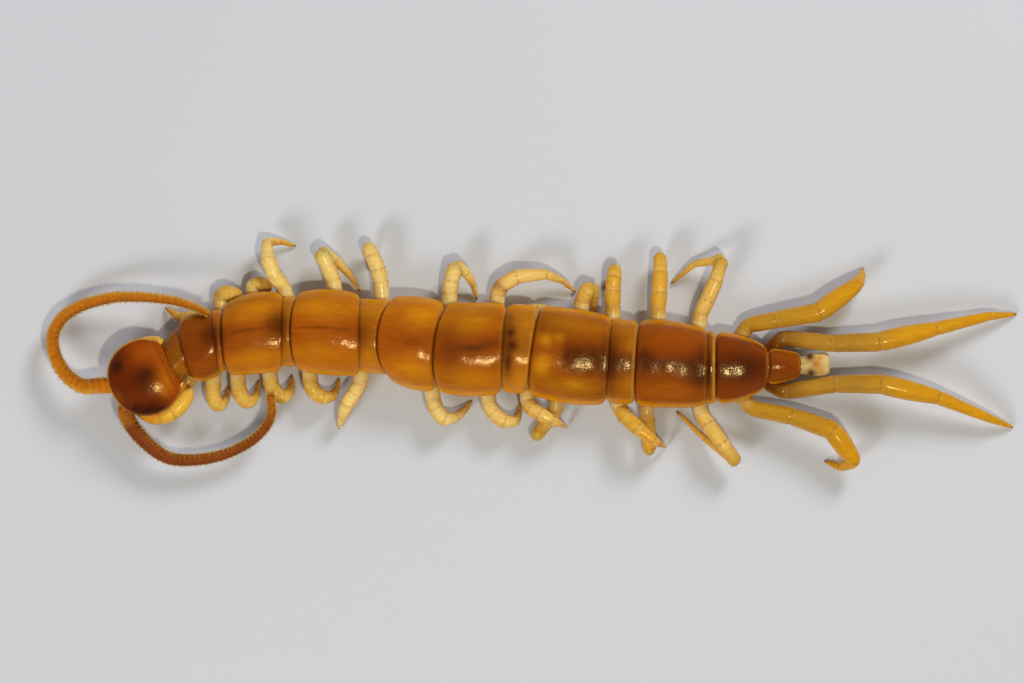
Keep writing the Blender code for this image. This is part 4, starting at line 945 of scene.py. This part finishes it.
legPaths = {
    # side and pair: station of the root, then six moves of plan length, heading in degrees and height reached
    ("left", 1): (-10.15, ((0.29, 228, 0.27), (0.24, 228, 0.24), (0.24, 227, 0.24), (0.26, 225, 0.23),
        (0.26, 216, 0.18), (0.24, 209, 0.05))),
    ("left", 2): (-9.61, ((0.40, 266, 0.56), (0.25, 274, 0.60), (0.25, 307, 0.60), (0.18, 26, 0.50),
        (0.27, 73, 0.20), (0.27, 84, 0.05))),
    ("left", 3): (-8.9, ((0.31, 275, 0.56), (0.31, 282, 0.60), (0.28, 313, 0.60), (0.22, 19, 0.50),
        (0.31, 69, 0.25), (0.33, 85, 0.05))),
    ("left", 4): (-7.97, ((0.36, 284, 0.60), (0.31, 300, 0.62), (0.24, 338, 0.60), (0.24, 40, 0.50),
        (0.27, 81, 0.25), (0.27, 90, 0.05))),
    ("left", 5): (-6.74, ((0.30, 278, 0.60), (0.29, 291, 0.62), (0.30, 330, 0.62), (0.28, 6, 0.50),
        (0.28, 60, 0.25), (0.33, 80, 0.05))),
    ("left", 6): (-5.09, ((0.29, 239, 0.62), (0.33, 236, 0.70), (0.37, 238, 0.75), (0.37, 249, 0.55),
        (0.22, 254, 0.30), (0.19, 252, 0.05))),
    ("left", 7): (-3.08, ((0.21, 287, 0.60), (0.30, 287, 0.65), (0.37, 307, 0.65), (0.38, 9, 0.50),
        (0.40, 40, 0.25), (0.31, 55, 0.05))),
    ("left", 8): (-1.4, ((0.22, 285, 0.60), (0.31, 297, 0.65), (0.39, 320, 0.65), (0.36, 360, 0.50),
        (0.31, 67, 0.22), (0.31, 85, 0.05))),
    ("left", 9): (-0.2, ((0.23, 277, 0.62), (0.26, 305, 0.78), (0.28, 328, 0.92), (0.37, 334, 0.94),
        (0.29, 332, 0.68), (0.24, 338, 0.05))),
    ("left", 10): (0.7, ((0.28, 257, 0.40), (0.27, 232, 0.27), (0.35, 234, 0.36), (0.37, 235, 0.52),
        (0.30, 53, 0.15), (0.28, 54, 0.05))),
    ("left", 11): (2.5, ((0.17, 301, 0.62), (0.32, 305, 0.80), (0.48, 318, 0.96), (0.56, 323, 0.95),
        (0.27, 327, 0.66), (0.22, 332, 0.05))),
    ("left", 12): (3.38, ((0.21, 275, 0.43), (0.33, 275, 0.28), (0.40, 275, 0.27), (0.42, 274, 0.34),
        (0.16, 91, 0.10), (0.18, 90, 0.05))),
    ("left", 13): (4.97, ((0.23, 295, 0.60), (0.35, 301, 0.75), (0.67, 307, 0.85), (0.74, 307, 0.65),
        (1.17, 143, 0.25), (1.21, 136, 0.05))),
    ("left", 14): (6.14, ((0.40, 340, 0.60), (1.25, 349, 0.75), (1.29, 341, 0.85), (1.15, 306, 0.70),
        (0.46, 205, 0.30), (0.52, 158, 0.05))),
    ("left", 15): (6.92, ((0.63, 8, 0.62), (1.50, 9, 0.75), (1.39, 0, 0.85), (1.76, 347, 0.75),
        (1.69, 338, 0.40), (0.82, 339, 0.05))),
    ("right", 1): (-9.98, ((0.20, 141, 0.33), (0.18, 171, 0.31), (0.18, 180, 0.30), (0.18, 166, 0.28),
        (0.26, 145, 0.22), (0.28, 150, 0.05))),
    ("right", 2): (-9.29, ((0.25, 120, 0.56), (0.15, 72, 0.62), (0.23, 12, 0.66), (0.29, 351, 0.56),
        (0.14, 198, 0.22), (0.16, 197, 0.05))),
    ("right", 3): (-8.33, ((0.18, 133, 0.52), (0.12, 59, 0.55), (0.20, 4, 0.55), (0.22, 337, 0.46),
        (0.16, 255, 0.20), (0.15, 216, 0.05))),
    ("right", 4): (-7.34, ((0.25, 140, 0.68), (0.45, 127, 0.95), (0.49, 111, 0.95), (0.51, 95, 0.60),
        (0.41, 2, 0.30), (0.49, 344, 0.05))),
    ("right", 5): (-5.93, ((0.32, 109, 0.60), (0.42, 111, 0.75), (0.45, 117, 0.80), (0.48, 333, 0.60),
        (0.66, 313, 0.30), (0.56, 301, 0.05))),
    ("right", 6): (-4.54, ((0.44, 97, 0.60), (0.40, 103, 0.72), (0.41, 114, 0.78), (0.34, 116, 0.62),
        (0.34, 290, 0.20), (0.39, 293, 0.05))),
    ("right", 7): (-2.56, ((0.27, 83, 0.62), (0.39, 81, 0.75), (0.44, 72, 0.80), (0.36, 327, 0.60),
        (0.43, 301, 0.30), (0.49, 282, 0.05))),
    ("right", 8): (-1.14, ((0.24, 77, 0.60), (0.30, 63, 0.70), (0.52, 30, 0.80), (0.87, 4, 0.70),
        (0.55, 339, 0.35), (0.54, 318, 0.05))),
    ("right", 9): (-0.35, ((0.33, 51, 0.33), (0.24, 5, 0.30), (0.24, 356, 0.28), (0.22, 344, 0.24),
        (0.20, 338, 0.18), (0.16, 333, 0.05))),
    ("right", 10): (1.38, ((0.25, 74, 0.60), (0.33, 66, 0.70), (0.19, 36, 0.72), (0.25, 291, 0.56),
        (0.30, 267, 0.22), (0.31, 270, 0.05))),
    ("right", 11): (2.39, ((0.35, 92, 0.60), (0.51, 90, 0.75), (0.36, 85, 0.80), (0.30, 84, 0.65),
        (0.34, 243, 0.20), (0.40, 244, 0.05))),
    ("right", 12): (3.72, ((0.33, 86, 0.60), (0.51, 87, 0.75), (0.57, 87, 0.80), (0.51, 91, 0.65),
        (0.36, 272, 0.20), (0.45, 272, 0.05))),
    ("right", 13): (4.89, ((0.36, 69, 0.60), (0.47, 64, 0.75), (0.62, 67, 0.85), (0.66, 73, 0.75),
        (0.84, 190, 0.40), (0.92, 220, 0.05))),
    ("right", 14): (6.05, ((0.43, 28, 0.60), (0.86, 11, 0.75), (1.31, 10, 0.85), (1.41, 36, 0.70),
        (0.32, 60, 0.30), (0.25, 76, 0.05))),
    ("right", 15): (6.93, ((0.58, 6, 0.62), (1.44, 353, 0.75), (1.42, 2, 0.85), (1.76, 13, 0.75),
        (1.68, 13, 0.40), (0.87, 4, 0.05))),
}


def legPoints(side, pair):
    # the same hip as the solids', with the root sunk into the side wall, then six joints to the claw
    station, moves = legPaths[(side, pair)]
    sign = 1 if side == "right" else -1
    tuck = 0.0
    if (side, pair) in legs["tucked"]:
        front, rear, depth = legs["tucked"][(side, pair)]
        tuck = depth * max(0.0, 1.0 - max(front - station, station - rear, 0.0) / 0.3)
    half = halfAt(station)
    taper = max(0.0, halfAt(station - legs["rootWidth"] / 2) - half)
    across = half - body["overhang"] - tuck + legs["rootGap"] + taper
    height = legs["tuckedHeight"] if tuck else legs["rootHeight"]
    return walked((station, float(atStation(station, 1)) + sign * across, height), moves)


def foldsOf(points):
    # joints where the way on turns back by more than the fold angle: cos(turn) = way . next way
    ways = unit(np.diff(points, axis=0))
    turn = np.degrees(np.arccos(np.clip((ways[:-1] * ways[1:]).sum(1), -1.0, 1.0)))
    return [0, *(np.flatnonzero(turn > legs["foldAngle"]) + 1), 6]


def legTube(points, widths, first, last, ease, swelling):
    # centre line = bell-weighted mean of the polyline; radius = half the width drawn out between the joints,
    # times (1 - waist * bell) at each joint, (1 + swelling * bell) at a fold, a quarter circle at both ends
    stops = points[first : last + 1].copy()
    ways = unit(np.diff(stops, axis=0))
    if first > 0:
        stops[0] -= ways[0] * widths[first] * legs["overlap"]
    if last < 6:
        stops[-1] += ways[-1] * widths[last] * legs["overlap"]
    marks = np.concatenate([[0.0], np.cumsum(np.linalg.norm(np.diff(stops, axis=0), axis=1))])
    place = np.linspace(0.0, marks[-1], max(int(marks[-1] / legs["step"]), 14))
    gap = place[1]
    reach = int(2.5 * ease / gap)
    padded = np.arange(-reach, len(place) + reach) * gap
    line = np.stack([np.interp(padded, marks, stops[:, i]) for i in range(3)], 1)
    over = padded - np.clip(padded, 0.0, marks[-1])
    line += np.minimum(over, 0.0)[:, None] * ways[0] + np.maximum(over, 0.0)[:, None] * ways[-1]
    bell = np.exp(-((np.arange(-reach, reach + 1) * gap / ease) ** 2))
    line = np.stack([np.convolve(line[:, i], bell / bell.sum(), "valid") for i in range(3)], 1)
    radius = np.interp(place, marks, widths[first : last + 1]) / 2
    before, after = legs["waistReach"]
    for mark in marks[1:-1]:
        beyond = place - mark
        radius = radius * (1 - legs["waist"] * np.exp(-((beyond / np.where(beyond < 0, before, after)) ** 2)))
    knees = float(first > 0) * bump(place, 0.1, 0.18) + float(last < 6) * bump(place, marks[-1] - 0.12, 0.22)
    radius = radius * (1 + swelling * knees)
    if widths is legs["hindWidths"] and last > 3:
        tibia = np.clip((place - marks[3 - first]) / (marks[4 - first] - marks[3 - first]), 0.0, 1.0)
        radius = radius * (1 + legs["hindSwelling"] * np.sin(np.pi * tibia))
    for distance, cap in ((place, radius[0]), (marks[-1] - place, radius[-1])):
        radius = radius * np.sqrt(np.clip(1 - (1 - np.minimum(distance / cap, 1)) ** 2, 0.04, 1))
    grid, _ = carried(line, radius, legs["columns"])
    grid[..., 2] = np.maximum(grid[..., 2], 0.0)
    return grid, line, radius, place, marks


def legShades(side, pair):
    # tones of the six joints: pale in front, honey behind, amber tarsi, olive thighs and brown hips last
    shade = mixed(legs["straw"], legs["honey"], 0.55 if pair == 13 else min(1.0, max(0.0, (pair - 7) / 4)))
    if pair <= 5 and (side == "left" or pair <= 3):
        shade = mixed(legs["curled"], legs["amber"], 0.45 * (pair == 1))
    shades = np.tile(shade, (6, 1))
    if pair >= 14:
        thigh = mixed(legs["femur"], legs["amber"], 0.45 if pair == 14 else 0.1)
        shades = np.array([thigh, thigh, thigh, legs["amber"], legs["amber"], legs["amber"]])
        if pair == 15:
            shades[0] = legs["coxa"]
    shades[4] = mixed(shades[4], legs["amber"], 0.35)
    shades[5] = mixed(shades[5], legs["amber"], 0.60)
    return shades


def legPaint(side, pair, first, last, place, marks):
    # tones drawn out between the joints' middles, amber along both sides, fine dark joint lines, darker folds
    middles = (marks[:-1] + marks[1:]) / 2
    shades = legShades(side, pair)[first:last]
    paint = np.stack([np.interp(place, middles, shades[:, i]) for i in range(3)], 1)[:, None, :]
    turn = np.linspace(0, 2 * np.pi, legs["columns"], endpoint=False)
    aside = np.abs(np.cos(turn))[None, :] * np.ones((len(place), 1))
    paint = paint * np.ones((1, legs["columns"], 1))
    paint = mixed(paint, legs["rim"], (0.60 if pair < 14 else 0.2) * smooth(0.55, 1.0, aside))
    full = np.ones_like(aside)
    for number, mark in enumerate(marks[1:-1], start=first):
        beyond = (place - mark)[:, None] * full
        paint = mixed(paint, legs["soft"], (0.16 if pair < 14 else 0.06) * bump(beyond, 0.05, 0.05))
        line = (0.12 if pair <= 5 else 0.18) + 0.20 * (pair > 5) * smooth(0.75, 0.3, aside)
        stain = legs["stains"].get((side, pair, number), 0.0)
        edges = 0.45 * bump(beyond, -0.03, 0.035) * smooth(0.75, 1.0, np.cos(turn))
        for amount in (line * bump(beyond, 0.0, 0.018), edges, stain * bump(beyond, -0.05, 0.12)):
            paint = mixed(paint, legs["joint"], amount)
    if first == 0 and pair < 15:
        hip = (0.6 if pair < 14 else 0.2) * bump(place, 0.48, 0.16)
        paint = mixed(paint, legs["soft"], hip[:, None] * full)
    if pair == 13 and last < 6:
        paint = mixed(paint, legs["femur"], 0.5 * smooth(marks[-1] - 0.9, marks[-1], place)[:, None] * full)
    folds = (first > 0) * bump(place, 0.1, 0.16) + (last < 6) * bump(place, marks[-1] - 0.1, 0.16)
    return mixed(paint, legs["amber"], 0.40 * folds[:, None] * full)


def spikes(bases, ways, long, thick, places, colour):
    # three-sided cones: three corners round each root and one tip, with a small map patch at the root's place
    bases, ways = np.asarray(bases), unit(np.asarray(ways))
    helper = np.where(np.abs(ways[:, 2:3]) < 0.9, [[0.0, 0.0, 1.0]], [[1.0, 0.0, 0.0]])
    side = unit(np.cross(ways, helper))
    other = np.cross(ways, side)
    turns = np.array([0, 2, 4]) * np.pi / 3
    thick, long = np.asarray(thick)[:, None, None], np.asarray(long)[:, None]
    corners = side[:, None, :] * np.cos(turns)[None, :, None]
    corners = corners + other[:, None, :] * np.sin(turns)[None, :, None]
    ring = bases[:, None, :] + thick / 2 * corners
    bend = bases + ways * long
    bend[:, 2] = np.maximum(bend[:, 2], 0.004)
    ring[..., 2] = np.maximum(ring[..., 2], 0.0)
    verts = np.concatenate([ring, bend[:, None, :]], 1).reshape(-1, 3)
    one = np.array([[0, 1, 3], [1, 2, 3], [2, 0, 3], [0, 2, 1]])
    faces = (np.arange(len(bases)) * 4)[:, None, None] + one
    patch = 0.0015 * np.array([[-1.0, -1.0], [1.0, -1.0], [0.0, 1.0], [0.0, 0.0]])
    uv = np.asarray(places)[:, None, :] + patch
    colours = np.repeat(np.broadcast_to(colour, (len(bases), 3))[:, None, :], 4, 1).reshape(-1, 3)
    return (verts, faces.reshape(-1, 3), colours), uv.reshape(-1, 2)


hairs = {
    # count = density * (0.6 * joints + millimetres), for front legs and last pairs, then length and lean
    "density": (11, 16), "length": (0.06, 0.13), "thickness": 0.010, "lean": (0.8, 0.7),
    # spurs at a joint: directions round the leg, length, what the last pairs gain, thickness as a share
    "spurTurns": (35, 90, 145, 250, 300), "spurLength": 0.10, "spurGain": 0.05, "spurShare": 0.2,
    "spurLean": 0.45,
}
random = np.random.default_rng(11)
legParts, spurParts, hairParts, hairPlaces = {}, [], [], []
for order, (side, pair) in enumerate(legPaths):
    points = legPoints(side, pair)
    widths = legs["hindWidths"] if pair >= 14 else legs["widths"]
    cell = np.array([order % 6, order // 6]) / 6.0
    points[0] -= np.array([0.0, (1 if side == "right" else -1) * legs["sunk"], 0.0])
    tip, back = points[-1].copy(), unit(points[-1] - points[-2])
    points[-1] = tip - back * legs["clawLength"]
    folds = foldsOf(points)
    tubes = []
    swelling = legs["lastKneeSwelling"] if pair == 13 else legs["kneeSwelling"]
    ease = legs["ease"][int(pair >= 14)]
    for first, last in zip(folds[:-1], folds[1:]):
        grid, line, radius, place, marks = legTube(points, widths, first, last, ease, swelling)
        tubes.append(closedGrid(grid, legPaint(side, pair, first, last, place, marks)))
        # hairs all round, leaning towards the tip
        along, sideways, upwards = framesAlong(line)
        count = int(hairs["density"][int(pair >= 14)] * (0.6 * (last - first) + marks[-1]))
        row, turn = random.integers(4, len(line) - 2, count), random.uniform(0, 2 * np.pi, count)
        out = sideways[row] * np.cos(turn)[:, None] + upwards[row] * np.sin(turn)[:, None]
        base = line[row] + out * (radius[row] * 0.97)[:, None]
        share = (first + place[row] / marks[-1] * (last - first)) / 6
        outwards, onwards = hairs["lean"]
        mapPlace = cell + np.stack([share, turn / (2 * np.pi)], 1) * 0.15 + 0.005
        part, uv = spikes(
            base, out * outwards + along[row] * onwards, random.uniform(*hairs["length"], count),
            hairs["thickness"] * np.ones(count), mapPlace, legs["honey"] * 0.7,
        )
        hairParts.append(part)
        hairPlaces.append(uv)
        # spurs ring the far ends of prefemur, femur and tibia
        for number in range(max(first + 1, 2), min(last, 4) + 1):
            near = min(int(np.searchsorted(place, marks[number - first] - 0.05)), len(line) - 6)
            spread = np.radians(hairs["spurTurns"])
            rim = sideways[near] * np.cos(spread)[:, None] + upwards[near] * np.sin(spread)[:, None]
            size = hairs["spurLength"] * np.ones(5) + hairs["spurGain"] * (pair > 12)
            part, _ = spikes(
                line[near] + rim * radius[near] * 0.97, along[near] + hairs["spurLean"] * rim,
                size, size * hairs["spurShare"], np.zeros((5, 2)), legs["spur"],
            )
            spurParts.append(part)
    clawPath = np.linspace(tip - back * legs["clawLength"] * 1.15, tip, 10)
    clawPath[:, 2] = np.maximum(clawPath[:, 2] - 0.02 * np.linspace(0, 1, 10) ** 2, 0.03)
    claw, _ = carried(clawPath, widths[-1] * 0.42 * (1 - 0.92 * np.linspace(0, 1, 10) ** 1.5), 10)
    claw[..., 2] = np.maximum(claw[..., 2], 0.0)
    spurParts.append(closedGrid(claw, np.broadcast_to(legs["claw"], claw.shape)))
    legParts[(side, pair)] = tubes

for (side, pair), tubes in legParts.items():
    kind = "hind_leg" if pair >= 14 else "leg"
    meshPiece(f"leg{side.capitalize()}{pair:02d}", tubes, legMaterial, (f"leg_{side}_{pair:02d}",))
meshPiece("spursAndClaws", spurParts, bristleMaterial)
meshPiece("legHairs", hairParts, bristleMaterial, uv=np.concatenate(hairPlaces))


# fringe of short hairs round every article of the antennae
fringe = {"perArticle": 170, "length": (0.05, 0.11), "thickness": 0.009}


def antennaFringe(side, corner):
    # hairs round each article, leaning towards the tip, mapped to one quarter of the square
    curve = antennaCurves[side]
    along, sideways, upwards = framesAlong(curve)
    count = antenna["articles"] * fringe["perArticle"]
    article = np.repeat(np.arange(antenna["articles"]), fringe["perArticle"])
    t = np.clip((article + random.uniform(0.25, 0.95, count)) / antenna["articles"], 0.012, 0.995)
    turn = random.uniform(0, 2 * np.pi, count)
    row = (t * (len(curve) - 1)).astype(int)
    out = sideways[row] * np.cos(turn)[:, None] + upwards[row] * np.sin(turn)[:, None]
    base = curve[row] + out * (articleRadius(t, side) * 0.96)[:, None]
    size = random.uniform(*fringe["length"], count)
    place = np.array(corner) + np.stack([t, turn / (2 * np.pi)], 1) * 0.45 + 0.01
    # hairs at the sides are yellow against the light, those on top keep the tone of the whip
    own = mixed(*antenna["colours"][side], t)
    colour = mixed(own, antenna["colours"]["fringe"], smooth(0.35, 0.95, np.abs(np.cos(turn)))[:, None])[:, 0]
    return spikes(base, out + along[row] * 0.6, size, fringe["thickness"] * np.ones(count), place, colour)


rightFringe, rightPlaces = antennaFringe("right", (0.0, 0.0))
leftFringe, leftPlaces = antennaFringe("left", (0.5, 0.5))
fringePlaces = np.concatenate([rightPlaces, leftPlaces])
meshPiece("antennaHairs", [rightFringe, leftFringe], bristleMaterial, uv=fringePlaces)


# floor, light and camera
studio = {
    "floorSize": 0.4, "floorTone": tint(206, 210, 220), "world": 0.22,
    # place in millimetres, size in millimetres, watts, colour, seen in reflections
    "lamps": (
        ((-70.0, -80.0, 75.0), 40.0, 0.062, (1.0, 1.0, 1.0), False),
        ((60.0, 95.0, 80.0), 45.0, 0.100, (1.0, 1.0, 1.0), False),
        ((20.0, -34.0, 120.0), 7.0, 0.050, (1.0, 0.90, 0.66), True),
    ),
    "floorRoughness": 0.9, "worldTone": (1.0, 0.98, 0.95),
    "eye": (-0.000651, 0.000405, 0.1715), "lens": 200.0,
}
floorMesh = bpy.data.meshes.new("floor")
reach = studio["floorSize"]
corners = [(-reach, -reach, 0), (reach, -reach, 0), (reach, reach, 0), (-reach, reach, 0)]
floorMesh.from_pydata(corners, [], [(0, 1, 2, 3)])
floor = bpy.data.objects.new("floor", floorMesh)
bpy.context.scene.collection.objects.link(floor)
floorPaint = bpy.data.materials.new("floorPaint")
floorPaint.use_nodes = True
floorInputs = floorPaint.node_tree.nodes["Principled BSDF"].inputs
floorInputs["Base Color"].default_value = (*studio["floorTone"], 1.0)
floorInputs["Roughness"].default_value = studio["floorRoughness"]
floorMesh.materials.append(floorPaint)

for number, (place, size, power, colour, mirrored) in enumerate(studio["lamps"], start=1):
    lamp = bpy.data.lights.new(f"lamp{number}", "AREA")
    lamp.shape, lamp.size, lamp.energy, lamp.color = "DISK", size * millimetre, power, colour
    holder = bpy.data.objects.new(f"lamp{number}", lamp)
    holder.location = Vector(place) * millimetre
    holder.rotation_euler = (-Vector(place)).to_track_quat("-Z", "Y").to_euler()
    holder.visible_glossy = mirrored
    bpy.context.scene.collection.objects.link(holder)
world = bpy.data.worlds.new("softRoom")
world.use_nodes = True
worldInputs = world.node_tree.nodes["Background"].inputs
worldInputs["Color"].default_value = (*studio["worldTone"], 1.0)
worldInputs["Strength"].default_value = studio["world"]
bpy.context.scene.world = world

view = bpy.data.cameras.new("camera")
view.lens, view.sensor_width, view.clip_start, view.clip_end = studio["lens"], 36.0, 0.01, 10.0
camera = bpy.data.objects.new("camera", view)
camera.location = studio["eye"]
bpy.context.scene.collection.objects.link(camera)
bpy.context.scene.camera = camera
bpy.context.scene.view_settings.view_transform = "Standard"
print("floor, light and camera ready")
